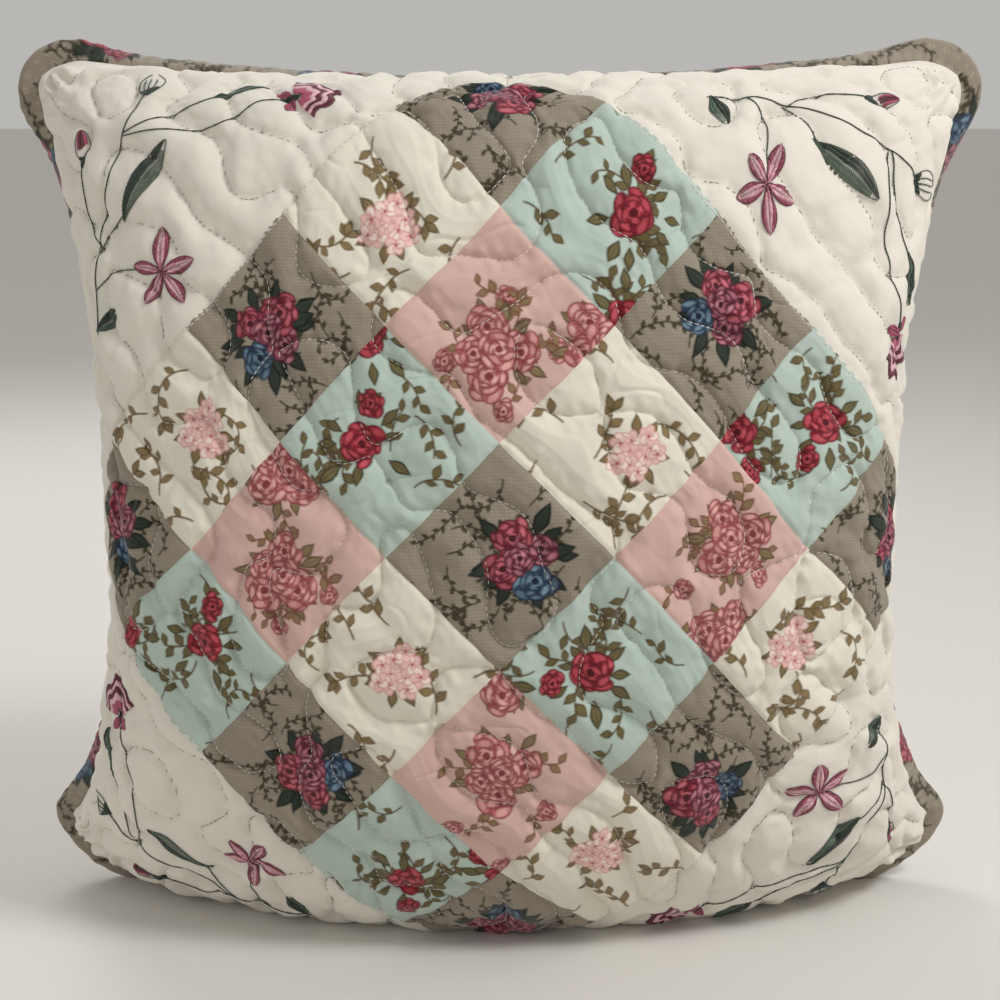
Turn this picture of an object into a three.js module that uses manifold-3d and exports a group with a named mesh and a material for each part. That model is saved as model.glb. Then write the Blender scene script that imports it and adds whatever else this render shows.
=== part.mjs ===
// A quilted patchwork throw pillow, standing upright on its lower edge.
// Millimetres, +Z up, front towards -Y, origin on the ground under the middle.
import * as THREE from 'three';
import { mergeVertices } from 'three/addons/utils/BufferGeometryUtils.js';
import Module from 'manifold-3d';

const wasm = await Module();
wasm.setup();

// ---- Driving dimensions ----
const coverSide = 457; // the cover laid flat, seam to seam
const cornerRadius = 35; // its rounded corners, laid flat
const bulge = 86; // how far each panel stands off the seam at the middle
const sideDraw = 0.255; // share by which the filling draws the side seams in
const topDraw = 0.165; // the same for the top seam
const bottomDraw = 0.115; // the same for the lower seam, which the weight straightens
const earDraw = 0.055; // the same at the corners
const fullness = 0.8; // 0 for a face that slopes evenly, 1 for one that turns over late
const overhang = 13; // how far the front swells out over its own seam
const seamSet = 12; // the seam lies this far behind the middle of the depth
const settle = 12; // how far the lower seam is pressed up by the ground
const earDrop = 10; // the upper corners sink by this
const earLift = 48; // the lower corners are pushed up by this
const earBack = 16; // all four corners turn back by this
const earReach = 2.2; // the higher, the smaller the part of the corner that turns
const earPoint = 1.5; // the higher, the shorter the ears stand out of the sides
const tuck = 10; // how far back the lower seam is tucked
const tuckHeight = 80; // the height at which the tuck has faded out

const clothThick = 0.5; // quilting cotton
const waddingThick = 1.7; // quilted wadding, pressed at the seam
const layerGap = 0.3; // between one layer and the next
const patchSide = 62; // one finished patch
const patchRows = 5;
const tipMargin = 30; // from the seam to the trimmed tips of the block
const leastTrim = 6; // least radius of a trimmed tip
const patchGap = 0.4; // seam line between two patches

const bindingWidth = 11; // the bound edge, seam to rim
const bindingThick = 7;
const bindingGap = 0.4;

const insertInset = 20; // the insert's seam inside the cover's seam
const insertSlack = 7; // between cover and insert at the middle
const tickingThick = 0.5;
const insertSeam = 1.8; // half the gap between its two panels at the seam
const coreInset = 18; // the filling inside the ticking
const coreSlack = 2;

const zipDrop = 70; // the zip below the middle of the back
const zipLength = 300; // stop to stop, along the curve on which the chain lies
const zipBend = 0.61; // how that curve follows the back: 1 would be far flatter
const zipFlat = 28; // half height of the band that follows the zip's curve
const zipFade = 40; // height over which the back returns to its own shape
const placketHalf = 6.5; // half the opening between the two back panels
const placketEnd = 2; // opening left beyond each end of the zip
const tapeDepth = 1.0; // the tapes lie this far under the cloth's inner face
const tapeHalf = 15; // half width across both tapes
const tapeThick = 0.6;
const coilHalf = 3.6; // half width across both coils
const coilHeight = 1.7;
const chainSplit = 1.5; // half the gap in which the slider's neck runs
const stopLength = 2.4;
const sliderLength = 9.5;
const sliderHalf = 4.8;
const plateThick = 1.0;
const sliderGap = 0.35; // play between slider and chain
const neckLength = 2.6;
const neckHalf = 1.1;
const archHalf = 3.2;
const archWidth = 1.1;
const archPost = 1.1;
const archHeight = 3.1;
const pullLength = 26;
const pullHalf = 3.6;
const pullThick = 1.0;
const pullEye = 4.4; // from the hinge to the solid part of the tab
const armInner = 1.7;
const armOuter = 2.9;
const barRadius = 0.65;

const threadLift = 0.9; // how far embroidery stands proud
const stemHalf = 0.7;
const seatClear = 2; // no embroidery lower than this, where the cushion meets the ground

const gridCells = 14;
const half = coverSide / 2;
const centreHeight = half * (1 - bottomDraw) - settle;
const zipHeight = centreHeight - zipDrop;
const deg = Math.PI / 180;
const zipRadius = (zipBend * half * half) / (bulge - seamSet);
const zipHalfAngle = zipLength / 2 / zipRadius / deg; // degrees of arc each side of the middle
const blockReach = (patchRows * patchSide) / 2; // from the block's middle to each straight edge
const trim = (blockReach * Math.SQRT2 - (half - tipMargin)) / (Math.SQRT2 - 1);
const blockCorner = Math.max(trim, leastTrim); // radius that trims the four tips

// ---- Colours of the cloths ----
const linen = { color: 0x92867a, roughness: 0.9 };
const cream = { color: 0xe8e4d7, roughness: 0.9 };
const mint = { color: 0xb4ccc6, roughness: 0.9 };
const rose = { color: 0xd8aaa6, roughness: 0.9 };
const ground = { color: 0xe8e4dc, roughness: 0.92 };
const threadGreen = { color: 0x2d4132, roughness: 0.6 };
const calico = { color: 0xe2dccb, roughness: 0.95 };
const polyester = { color: 0xf2f2ee, roughness: 1.0 };
const zipCloth = { color: 0xd9d3c4, roughness: 0.85 };
const zipNylon = { color: 0xcfc8b6, roughness: 0.45 };
const zincAlloy = { color: 0xb9b6ac, roughness: 0.35, metalness: 0.9 };

// ---- The shape of the stuffed cushion ----

function smoothStep(low, high, x) {
  const t = THREE.MathUtils.clamp((x - low) / (high - low), 0, 1);
  return t * t * (3 - 2 * t);
}

// Keeps z above a level, rounding into it over a short reach
function pressUp(z, level, reach) {
  const above = z - level;
  if (above >= reach) return z;
  if (above <= -reach) return level;
  return level + (above + reach) ** 2 / (4 * reach);
}

// Position on the flat panel, in mm, of a point given as -1..1 each way
function flatPoint(p, q, side) {
  const straight = side - cornerRadius;
  const a = THREE.MathUtils.clamp((Math.abs(p) * side - straight) / cornerRadius, 0, 1);
  const b = THREE.MathUtils.clamp((Math.abs(q) * side - straight) / cornerRadius, 0, 1);
  let u = Math.abs(p) * side;
  let v = Math.abs(q) * side;
  if (a > 0 && b > 0) {
    u = straight + cornerRadius * a * Math.sqrt(1 - (b * b) / 2);
    v = straight + cornerRadius * b * Math.sqrt(1 - (a * a) / 2);
  }
  return [Math.sign(p) * u, Math.sign(q) * v];
}

// How far a place on a side is towards its corner, 0 to 1, starting gently
function towardsCorner(along) {
  const ease = 0.25;
  const rise = (Math.hypot(along, ease) - ease) / (Math.hypot(1, ease) - ease);
  return rise ** earPoint;
}

function drawIn(share, along) {
  return 1 - earDraw - (share - earDraw) * (1 - towardsCorner(along));
}

// Swelling of the front over its seam, greatest a little inside the seam's middle
function swell(across, along) {
  const t = THREE.MathUtils.clamp((Math.abs(across) - 0.5) / 0.5, 0, 1);
  return overhang * Math.sign(across) * Math.sin(t * Math.PI) ** 2 * (1 - along ** 6);
}

// Height above the ground before the ground presses on it
function freeHeight(form, face, p, q) {
  const v = flatPoint(p, q, form.half)[1];
  const round = fullness * (1 - p * p) * form.half * (Math.sin(q * 90 * deg) - q);
  const vertical = q > 0 ? topDraw : bottomDraw;
  const share = sideDraw + (vertical - sideDraw) * smoothStep(0, 0.8, Math.abs(q));
  const ear = turnOfEar(p, q) * (q > 0 ? -earDrop : earLift);
  const swollen = face < 0 && q > 0 ? swell(q, p) : 0;
  return centreHeight + drawIn(share, p) * (v + round) + ear + swollen;
}

function turnOfEar(p, q) {
  return Math.abs(p * q) ** earReach;
}

// One point of the stuffed form. face is -1 on the front and 1 on the back
function formPoint(form, face, p, q) {
  const u = flatPoint(p, q, form.half)[0];
  const round = fullness * (1 - q * q) * form.half * (Math.sin(p * 90 * deg) - p);
  const x = drawIn(sideDraw, q) * (u + round) + (face < 0 ? swell(p, q) : 0);
  const stand = Math.sqrt(Math.cos(p * 90 * deg) * Math.cos(q * 90 * deg)) || 0;
  let y = form.seamGap + (form.bulge - face * seamSet) * stand;
  let z = freeHeight(form, face, p, q);
  if (form.followsZip) {
    const level = freeHeight(form, face, 0, q);
    const share = nearZip(x, level);
    y += (zipArcY(form, x) - y) * share;
    z += (level - z) * share;
  }
  z = pressUp(z, form.floor, 6);
  const low = 1 - THREE.MathUtils.clamp(z / tuckHeight, 0, 1);
  const back = seamSet + turnOfEar(p, q) * earBack + tuck * low * low;
  return new THREE.Vector3(x, face * y + back, z);
}

// The zip's cylinder is upright, its axis well in front of the cushion
function zipAxisY(form) {
  const stand = Math.sqrt(Math.cos((zipDrop / half) * 90 * deg));
  return form.seamGap + (form.bulge - seamSet) * stand - zipRadius;
}

function zipArcY(form, x) {
  const widest = zipRadius * Math.sin(zipHalfAngle * 1.3 * deg);
  const across = Math.min(Math.abs(x), widest);
  return zipAxisY(form) + Math.sqrt(zipRadius * zipRadius - across * across);
}

// 1 where the back has to follow the chain's own curve, 0 well away from it
function nearZip(x, z) {
  const reach = zipRadius * Math.sin(zipHalfAngle * deg);
  const near = 1 - smoothStep(zipFlat, zipFlat + zipFade, Math.abs(z - zipHeight));
  return near * (1 - smoothStep(reach + 4, reach + 24, Math.abs(x)));
}

// The line across a panel, as -1..1, that lies at a given height in its middle
function rowAtHeight(form, face, z) {
  let low = -1;
  let high = 1;
  for (let k = 0; k < 40; k += 1) {
    const middle = (low + high) / 2;
    if (formPoint(form, face, 0, middle).z < z) low = middle;
    else high = middle;
  }
  return low;
}

// ---- Surfaces: a grid of points with normals, read as flat triangles ----

function gridLines(extra) {
  const lines = [];
  for (let i = 0; i <= gridCells; i += 1) {
    const t = (2 * i) / gridCells - 1;
    lines.push(0.5 * t + 0.5 * Math.sin(t * 90 * deg));
  }
  lines[gridCells / 2] = 0;
  return [...lines, ...extra].sort((a, b) => a - b);
}

function makeSurface(form, face, columns = gridLines([]), rows = gridLines([])) {
  const step = 1e-3;
  const points = columns.map((p) => rows.map((q) => {
    const point = formPoint(form, face, p, q);
    const p0 = Math.max(-1, p - step);
    const p1 = Math.min(1, p + step);
    const q0 = Math.max(-1, q - step);
    const q1 = Math.min(1, q + step);
    const alongP = formPoint(form, face, p1, q).sub(formPoint(form, face, p0, q));
    const alongQ = formPoint(form, face, p, q1).sub(formPoint(form, face, p, q0));
    const normal = alongP.cross(alongQ).multiplyScalar(-face).normalize();
    return { point, normal };
  }));
  return { columns, rows, points, face };
}

function cellOf(lines, x) {
  let i = 0;
  while (i < lines.length - 2 && x > lines[i + 1]) i += 1;
  return i;
}

// A point of the faceted surface, moved outwards by offset
function onSurface(surface, p, q, offset) {
  const i = cellOf(surface.columns, p);
  const j = cellOf(surface.rows, q);
  const s = (p - surface.columns[i]) / (surface.columns[i + 1] - surface.columns[i]);
  const t = (q - surface.rows[j]) / (surface.rows[j + 1] - surface.rows[j]);
  const corner = (a, b) => {
    const { point, normal } = surface.points[i + a][j + b];
    return point.clone().addScaledVector(normal, offset);
  };
  const far = corner(1, 1);
  const near = corner(0, 0);
  const result = near.clone();
  if (s >= t) {
    const side = corner(1, 0);
    return result.addScaledVector(side.clone().sub(near), s).addScaledVector(far.sub(side), t);
  }
  const side = corner(0, 1);
  return result.addScaledVector(side.clone().sub(near), t).addScaledVector(far.sub(side), s);
}

// Cuts a convex polygon by the half plane left of the line from a to b
function clipByLine(polygon, a, b) {
  const side = ([x, y]) => (b[0] - a[0]) * (y - a[1]) - (b[1] - a[1]) * (x - a[0]);
  const result = [];
  polygon.forEach((current, index) => {
    const next = polygon[(index + 1) % polygon.length];
    const d0 = side(current);
    const d1 = side(next);
    if (d0 >= 0) result.push(current);
    if (d0 * d1 < 0) {
      const t = d0 / (d0 - d1);
      result.push([current[0] + (next[0] - current[0]) * t, current[1] + (next[1] - current[1]) * t]);
    }
  });
  return result;
}

function clipByPolygon(polygon, region) {
  let result = polygon;
  region.forEach((a, index) => {
    if (result.length > 2) result = clipByLine(result, a, region[(index + 1) % region.length]);
  });
  return result;
}

function polygonArea(polygon) {
  let twice = 0;
  polygon.forEach(([x, y], index) => {
    const [nx, ny] = polygon[(index + 1) % polygon.length];
    twice += x * ny - nx * y;
  });
  return twice / 2;
}

// The grid's triangles inside a convex region, as polygons in p, q
function cellsInside(surface, region) {
  const { columns, rows } = surface;
  const cells = [];
  for (let i = 0; i < columns.length - 1; i += 1) {
    for (let j = 0; j < rows.length - 1; j += 1) {
      const a = [columns[i], rows[j]];
      const b = [columns[i + 1], rows[j]];
      const c = [columns[i + 1], rows[j + 1]];
      const d = [columns[i], rows[j + 1]];
      cells.push(clipByPolygon([a, b, c], region), clipByPolygon([a, c, d], region));
    }
  }
  return cells.filter((cell) => cell.length > 2 && polygonArea(cell) > 1e-9);
}

const wholePanel = [[-1, -1], [1, -1], [1, 1], [-1, 1]];

// A closed layer of cloth between two offsets from a surface, cut to a convex region, or to
// several that meet along the surface's own grid lines
function clothLayer(surface, inner, outer, regions = [wholePanel]) {
  const index = new Map();
  const positions = [];
  const faces = [];
  const vertex = ([p, q]) => {
    const key = `${Math.round(p * 1e5)} ${Math.round(q * 1e5)}`;
    if (!index.has(key)) {
      index.set(key, positions.length / 6);
      positions.push(...onSurface(surface, p, q, outer), ...onSurface(surface, p, q, inner));
    }
    return index.get(key);
  };
  const edges = new Map();
  regions.flatMap((region) => cellsInside(surface, region)).forEach((cell) => {
    const ring = cell.map(vertex).filter((id, k, all) => id !== all[(k + 1) % all.length]);
    for (let k = 1; k < ring.length - 1; k += 1) {
      faces.push([ring[0], ring[k], ring[k + 1]]);
    }
    ring.forEach((id, k) => {
      const next = ring[(k + 1) % ring.length];
      if (!edges.delete(`${next} ${id}`)) edges.set(`${id} ${next}`, [id, next]);
    });
  });
  const triangles = [];
  const flip = surface.face > 0;
  const add = (a, b, c) => triangles.push(...(flip ? [a, c, b] : [a, b, c]));
  faces.forEach(([a, b, c]) => {
    add(2 * a, 2 * b, 2 * c);
    add(2 * a + 1, 2 * c + 1, 2 * b + 1);
  });
  edges.forEach(([a, b]) => {
    add(2 * a, 2 * a + 1, 2 * b + 1);
    add(2 * a, 2 * b + 1, 2 * b);
  });
  return solidGeometry(positions, triangles);
}

function solidGeometry(positions, triangles) {
  const geometry = new THREE.BufferGeometry();
  geometry.setAttribute('position', new THREE.Float32BufferAttribute(positions, 3));
  geometry.setIndex(triangles);
  return geometry;
}

// ---- Joining and cutting solids ----

function toSolid(geometry) {
  const bare = geometry.clone();
  bare.deleteAttribute('normal');
  bare.deleteAttribute('uv');
  const merged = mergeVertices(bare, 1e-4);
  return new wasm.Manifold(new wasm.Mesh({
    numProp: 3,
    vertProperties: new Float32Array(merged.attributes.position.array),
    triVerts: new Uint32Array(merged.index.array),
  }));
}

function fromSolid(solid) {
  const mesh = solid.getMesh();
  return solidGeometry(Array.from(mesh.vertProperties), Array.from(mesh.triVerts));
}

function joined(geometries) {
  return fromSolid(geometries.map(toSolid).reduce((sum, next) => sum.add(next)));
}

function part(name, geometry, look) {
  const mesh = new THREE.Mesh(geometry, new THREE.MeshStandardMaterial({ metalness: 0, ...look }));
  mesh.name = name;
  return mesh;
}

// ---- The forms that nest inside each other ----

const coverForm = { half, bulge, seamGap: bindingThick / 2, floor: 0 };
const coverBackForm = {
  half,
  bulge: bulge + layerGap + clothThick,
  seamGap: bindingThick / 2,
  floor: bindingThick + bindingGap + clothThick,
  followsZip: true,
};
const insertForm = {
  half: half - insertInset,
  bulge: bulge - insertSlack,
  seamGap: insertSeam,
  floor: coverBackForm.floor + 2 * layerGap + waddingThick,
};
const coreForm = {
  half: insertForm.half - coreInset,
  bulge: insertForm.bulge - coreSlack,
  seamGap: 0,
  floor: insertForm.floor + coreSlack,
};
const front = makeSurface(coverForm, -1);

// ---- Front: patchwork, ground, wadding and lining ----

const patchPrints = [[linen, cream], [mint, rose]];

// Outline of the whole block, set on point, its tips trimmed round
function blockOutline() {
  const centre = blockReach - blockCorner;
  const outline = [];
  for (let corner = 0; corner < 4; corner += 1) {
    for (let k = 0; k <= 4; k += 1) {
      const angle = (corner + k / 4) * 90 * deg;
      const middle = (corner + 0.5) * 90 * deg;
      const s = Math.SQRT2 * centre * Math.cos(middle) + blockCorner * Math.cos(angle);
      const t = Math.SQRT2 * centre * Math.sin(middle) + blockCorner * Math.sin(angle);
      outline.push([s, t]);
    }
  }
  return outline;
}

// Rows run up to the right and follow each other down to the right
function onPoint([along, across]) {
  const turn = Math.SQRT1_2 / half;
  return [(along + across) * turn, (along - across) * turn];
}

function makePatches() {
  const patches = [];
  const middle = (patchRows - 1) / 2;
  const size = patchSide / 2 - patchGap / 2;
  for (let row = 0; row < patchRows; row += 1) {
    for (let column = 0; column < patchRows; column += 1) {
      const along = (column - middle) * patchSide;
      const across = (row - middle) * patchSide;
      const square = [[-size, -size], [size, -size], [size, size], [-size, size]]
        .map(([s, t]) => [along + s, across + t]);
      const region = clipByPolygon(square, blockOutline()).map(onPoint).reverse();
      const name = `patch_${'abcde'[row]}${column + 1}`;
      const cloth = clothLayer(front, layerGap, layerGap + clothThick, [region]);
      patches.push(part(name, cloth, patchPrints[row % 2][column % 2]));
    }
  }
  return patches;
}

function makeFrontLayers() {
  const wadding = clothThick + layerGap;
  const lining = wadding + waddingThick + layerGap;
  const liningThick = bindingThick / 2 - lining - layerGap;
  return [
    part('front_ground', clothLayer(front, -clothThick, 0), ground),
    part('front_wadding', clothLayer(front, -wadding - waddingThick, -wadding), polyester),
    part('front_lining', clothLayer(front, -lining - liningThick, -lining), calico),
  ];
}

// ---- Embroidered corner sprays ----

// A spray as drawn for the upper left corner, in mm from the middle of its panel.
// It is moved and scaled to fill the room between the block and the panel's corner.
const sprayCorner = 228.5; // that panel's corner
const sprayRoom = 168.1; // from the block to the corner, where the spray keeps its own size
const sprayStems = [
  [[-180, 86], [-182, 112], [-171, 140], [-158, 168], [-152, 192]],
  [[-182, 106], [-166, 113], [-150, 112]],
  [[-177, 124], [-187, 138], [-186, 158]],
  [[-173, 134], [-159, 135]],
  [[-159, 166], [-142, 172], [-123, 184]],
  [[-159, 165], [-125, 165], [-90, 180]],
];
const sprayLeaves = [
  { at: [-173, 92], length: 18, width: 8, angle: 28 },
  { at: [-152, 200], length: 22, width: 11, angle: 95 },
  { at: [-150, 146], length: 34, width: 9, angle: 52 },
  { at: [-112, 192], length: 28, width: 9, angle: 35 },
  { at: [-187, 164], length: 18, width: 9, angle: 100 },
];
const sprayFlowers = [
  { at: [-141, 111], petals: 5, length: 14, width: 8 },
  { at: [-82, 183], petals: 4, length: 18, width: 15 },
];

// A pointed oval, as a polygon with few sides
function oval([u, v], length, width, angle, sides) {
  const ring = [];
  for (let k = 0; k < sides; k += 1) {
    const a = (k * 2 * Math.PI) / sides;
    const s = (Math.cos(a) * length) / 2;
    const t = (Math.sin(a) * width) / 2;
    const turn = angle * deg;
    ring.push([u + s * Math.cos(turn) - t * Math.sin(turn), v + s * Math.sin(turn) + t * Math.cos(turn)]);
  }
  return ring;
}

function stemPiece([u0, v0], [u1, v1]) {
  const length = Math.hypot(u1 - u0, v1 - v0);
  const du = ((u1 - u0) / length) * stemHalf;
  const dv = ((v1 - v0) / length) * stemHalf;
  return [
    [u0 - du - -dv, v0 - dv - du], [u1 + du - -dv, v1 + dv - du],
    [u1 + du + -dv, v1 + dv + du], [u0 - du + -dv, v0 - dv + du],
  ];
}

function sprayRegions() {
  const regions = [];
  sprayStems.forEach((stem) => {
    stem.slice(1).forEach((end, k) => regions.push(stemPiece(stem[k], end)));
  });
  sprayLeaves.forEach((leaf) => regions.push(oval(leaf.at, leaf.length, leaf.width, leaf.angle, 6)));
  sprayFlowers.forEach(({ at, petals, length, width }) => {
    for (let k = 0; k < petals; k += 1) {
      const angle = (360 / petals) * k + 90;
      const centre = [
        at[0] + Math.cos(angle * deg) * length * 0.45,
        at[1] + Math.sin(angle * deg) * length * 0.45,
      ];
      regions.push(oval(centre, length, width, angle, 4));
    }
  });
  return regions;
}

// Each spray is the last one turned a quarter, clockwise
function makeSprays() {
  const names = ['upper_left', 'upper_right', 'lower_right', 'lower_left'];
  const lowest = rowAtHeight(coverForm, -1, seatClear);
  const offGround = [[-1, lowest], [1, lowest], [1, 1], [-1, 1]];
  const grow = (half * Math.SQRT2 - blockReach) / sprayRoom;
  return names.map((name, turns) => {
    const pieces = sprayRegions().map((region) => {
      const turned = region.map(([u, v]) => {
        let point = [(u + sprayCorner) * grow / half - 1, 1 - (sprayCorner - v) * grow / half];
        for (let k = 0; k < turns; k += 1) point = [point[1], -point[0]];
        return point;
      });
      return clipByPolygon(turned, offGround);
    });
    const threads = pieces.filter((piece) => piece.length > 2)
      .map((piece) => clothLayer(front, layerGap, layerGap + threadLift, [piece]));
    return part(`embroidery_${name}`, joined(threads), threadGreen);
  });
}

// ---- Edge binding ----

// The seam all round, with the way out of the cushion and the way across the bound edge
function seamFrame(p, q) {
  const frontEdge = formPoint(coverForm, -1, p, q);
  const backEdge = formPoint(coverBackForm, 1, p, q);
  const middle = frontEdge.clone().add(backEdge).multiplyScalar(0.5);
  const across = backEdge.sub(frontEdge).normalize();
  return { middle, across };
}

function seamLoop() {
  const lines = gridLines([]);
  const loop = [];
  for (let i = 0; i < gridCells; i += 1) loop.push([lines[i], 1]);
  for (let i = gridCells; i > 0; i -= 1) loop.push([1, lines[i]]);
  for (let i = gridCells; i > 0; i -= 1) loop.push([lines[i], -1]);
  for (let i = 0; i < gridCells; i += 1) loop.push([-1, lines[i]]);
  return loop;
}

// One length of binding, from corner to corner, with its ends mitred
function bindingLength(loop, start) {
  const sections = [];
  const at = (k) => seamFrame(...loop[(k + loop.length) % loop.length]);
  for (let k = start; k <= start + gridCells; k += 1) {
    const { middle, across } = at(k);
    const forward = at(k + 1).middle.sub(at(k - 1).middle).normalize();
    const out = forward.clone().cross(across).normalize();
    if (k === start) middle.addScaledVector(forward, patchGap);
    if (k === start + gridCells) middle.addScaledVector(forward, -patchGap);
    const side = across.clone().multiplyScalar(bindingThick / 2);
    const rim = middle.clone().addScaledVector(out, bindingWidth + bindingGap);
    middle.addScaledVector(out, bindingGap);
    const ring = [
      middle.clone().sub(side), rim.clone().sub(side),
      rim.clone().add(side), middle.clone().add(side),
    ];
    ring.forEach((corner) => corner.setZ(Math.max(corner.z, 0)));
    sections.push(ring);
  }
  return sweptSections(sections);
}

function sweptSections(sections) {
  const positions = sections.flat().flatMap((corner) => corner.toArray());
  const triangles = [];
  const sides = sections[0].length;
  for (let k = 0; k < sections.length - 1; k += 1) {
    for (let c = 0; c < sides; c += 1) {
      const a = k * sides + c;
      const b = k * sides + ((c + 1) % sides);
      triangles.push(a, b + sides, b, a, a + sides, b + sides);
    }
  }
  const last = (sections.length - 1) * sides;
  for (let c = 1; c < sides - 1; c += 1) {
    triangles.push(0, c, c + 1);
    triangles.push(last, last + c + 1, last + c);
  }
  return solidGeometry(positions, triangles);
}

function makeBinding() {
  const loop = seamLoop();
  return ['top', 'right', 'bottom', 'left'].map((name, k) => (
    part(`binding_${name}`, bindingLength(loop, k * gridCells), linen)
  ));
}

// ---- Back panels ----

// The two panels meet in a short seam at each end of the zip; between them is its opening
function makeBackPanels() {
  const opening = [-placketHalf - patchGap, -placketHalf, placketHalf];
  const [seam, low, high] = opening.map((dz) => rowAtHeight(coverBackForm, 1, zipHeight + dz));
  const reach = zipRadius * Math.sin(zipHalfAngle * deg) + placketEnd;
  const end = columnAtReach(reach, (low + high) / 2);
  const back = makeSurface(coverBackForm, 1, gridLines([-end, end]), gridLines([seam, low, high]));
  const box = (p0, q0, p1, q1) => [[p0, q0], [p1, q0], [p1, q1], [p0, q1]];
  const upper = [box(-1, high, 1, 1), box(-1, low, -end, high), box(end, low, 1, high)];
  return [
    part('back_panel_upper', clothLayer(back, -clothThick, 0, upper), ground),
    part('back_panel_lower', clothLayer(back, -clothThick, 0, [box(-1, -1, 1, seam)]), ground),
  ];
}

// The line down the back, as 0..1, that lies at a given distance from the middle
function columnAtReach(x, q) {
  let low = 0;
  let high = 1;
  for (let k = 0; k < 40; k += 1) {
    const middle = (low + high) / 2;
    if (formPoint(coverBackForm, 1, middle, q).x < x) low = middle;
    else high = middle;
  }
  return low;
}

// ---- Zip: every piece lies on one upright cylinder ----

const axisY = zipAxisY(coverBackForm) + seamSet;

// A block bounded by two angles, two heights and two distances out from the cloth's face
function arcBlock(from, to, low, high, inner, outer) {
  const steps = Math.max(1, Math.ceil((to - from) / 2.5));
  const sections = [];
  for (let k = 0; k <= steps; k += 1) {
    const angle = (from + ((to - from) * k) / steps) * deg;
    const at = (offset, z) => new THREE.Vector3(
      -(zipRadius + offset) * Math.sin(angle),
      axisY + (zipRadius + offset) * Math.cos(angle),
      zipHeight + z,
    );
    sections.push([at(inner, low), at(outer, low), at(outer, high), at(inner, high)]);
  }
  return sweptSections(sections);
}

const tapeTop = -clothThick - tapeDepth;
const coilBase = tapeTop + layerGap;
const coilTop = coilBase + coilHeight;
const arcOf = (length) => length / zipRadius / deg;
const closedAt = zipHalfAngle - arcOf(stopLength + sliderLength / 2 + 1);

function makeZipChain() {
  const end = zipHalfAngle;
  const pieces = [];
  [['upper', 1], ['lower', -1]].forEach(([name, up]) => {
    const span = (a, b) => (up > 0 ? [a, b] : [-b, -a]);
    const tape = arcBlock(-end, end, ...span(chainSplit, tapeHalf), tapeTop - tapeThick, tapeTop);
    const reach = end - arcOf(stopLength + 0.5);
    const coil = arcBlock(-reach, reach, ...span(chainSplit, coilHalf), coilBase, coilTop);
    const stop = arcBlock(end - arcOf(stopLength), end, ...span(chainSplit, coilHalf), coilBase, coilTop);
    pieces.push(part(`zip_tape_${name}`, tape, zipCloth));
    pieces.push(part(`zip_coil_${name}`, coil, zipNylon));
    pieces.push(part(`zip_top_stop_${name}`, stop, zincAlloy));
  });
  const foot = arcBlock(-end, -end + arcOf(stopLength), -coilHalf, coilHalf, coilBase, coilTop);
  pieces.push(part('zip_bottom_stop', foot, zincAlloy));
  return pieces;
}

const plateFloor = coilTop + sliderGap;
const plateTop = plateFloor + plateThick;
const hingeLift = plateTop + 1.2;

function makeSlider() {
  const span = arcOf(sliderLength / 2);
  const from = closedAt - span;
  const to = closedAt + span;
  const under = tapeTop - tapeThick - sliderGap;
  const arc = arcOf(archHalf);
  const post = arcOf(archPost);
  const archTop = plateTop + archHeight;
  const neckEnd = to - arcOf(0.4);
  return part('zip_slider', joined([
    arcBlock(from, to, -sliderHalf, sliderHalf, plateFloor, plateTop),
    arcBlock(from, to, -sliderHalf, sliderHalf, under - plateThick, under),
    arcBlock(neckEnd - arcOf(neckLength), neckEnd, -neckHalf, neckHalf, under - 0.5, plateFloor + 0.5),
    arcBlock(closedAt - arc, closedAt - arc + post, -archWidth, archWidth, plateTop - 0.5, archTop),
    arcBlock(closedAt + arc - post, closedAt + arc, -archWidth, archWidth, plateTop - 0.5, archTop),
    arcBlock(closedAt - arc, closedAt + arc, -archWidth, archWidth, archTop - 1, archTop),
  ]), zincAlloy);
}

// The pull lies flat over the closed chain; its cross bar runs through the slider's arch
function makePull() {
  const angle = closedAt * deg;
  const plate = (x0, x1, z0, z1) => {
    const box = new THREE.BoxGeometry(x1 - x0, pullThick, z1 - z0);
    return box.translate((x0 + x1) / 2, 0, (z0 + z1) / 2);
  };
  const bar = new THREE.CylinderGeometry(barRadius, barRadius, 2 * armOuter - 0.4, 12).rotateX(90 * deg);
  const geometry = joined([
    bar,
    plate(-barRadius, pullEye + 1, armInner, armOuter),
    plate(-barRadius, pullEye + 1, -armOuter, -armInner),
    plate(pullEye, pullLength, -pullHalf, pullHalf),
  ]);
  geometry.rotateZ(angle);
  const distance = zipRadius + hingeLift;
  geometry.translate(-distance * Math.sin(angle), axisY + distance * Math.cos(angle), zipHeight);
  return part('zip_pull', geometry, zincAlloy);
}

// ---- Insert ----

function makeInsert() {
  const ticking = (face) => clothLayer(makeSurface(insertForm, face), -tickingThick, 0);
  return [
    part('insert_ticking_front', ticking(-1), calico),
    part('insert_ticking_back', ticking(1), calico),
    part('fibre_filling', makeCore(), polyester),
  ];
}

// The filling is one closed body whose two faces meet along its rim
function makeCore() {
  const faces = [-1, 1].map((face) => makeSurface(coreForm, face));
  const positions = [];
  const triangles = [];
  const lines = faces[0].columns.length;
  faces.forEach(({ points, face }, side) => {
    points.flat().forEach(({ point }) => positions.push(...point));
    for (let i = 0; i < lines - 1; i += 1) {
      for (let j = 0; j < lines - 1; j += 1) {
        const a = side * lines * lines + i * lines + j;
        const quad = [a, a + lines, a + lines + 1, a + 1];
        const [k, l, m, n] = face < 0 ? quad : quad.reverse();
        triangles.push(...(face < 0 ? [k, l, m, k, m, n] : [n, k, l, n, l, m]));
      }
    }
  });
  return mergeVertices(solidGeometry(positions, triangles), 1e-3);
}

// ---- The whole pillow ----

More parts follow.
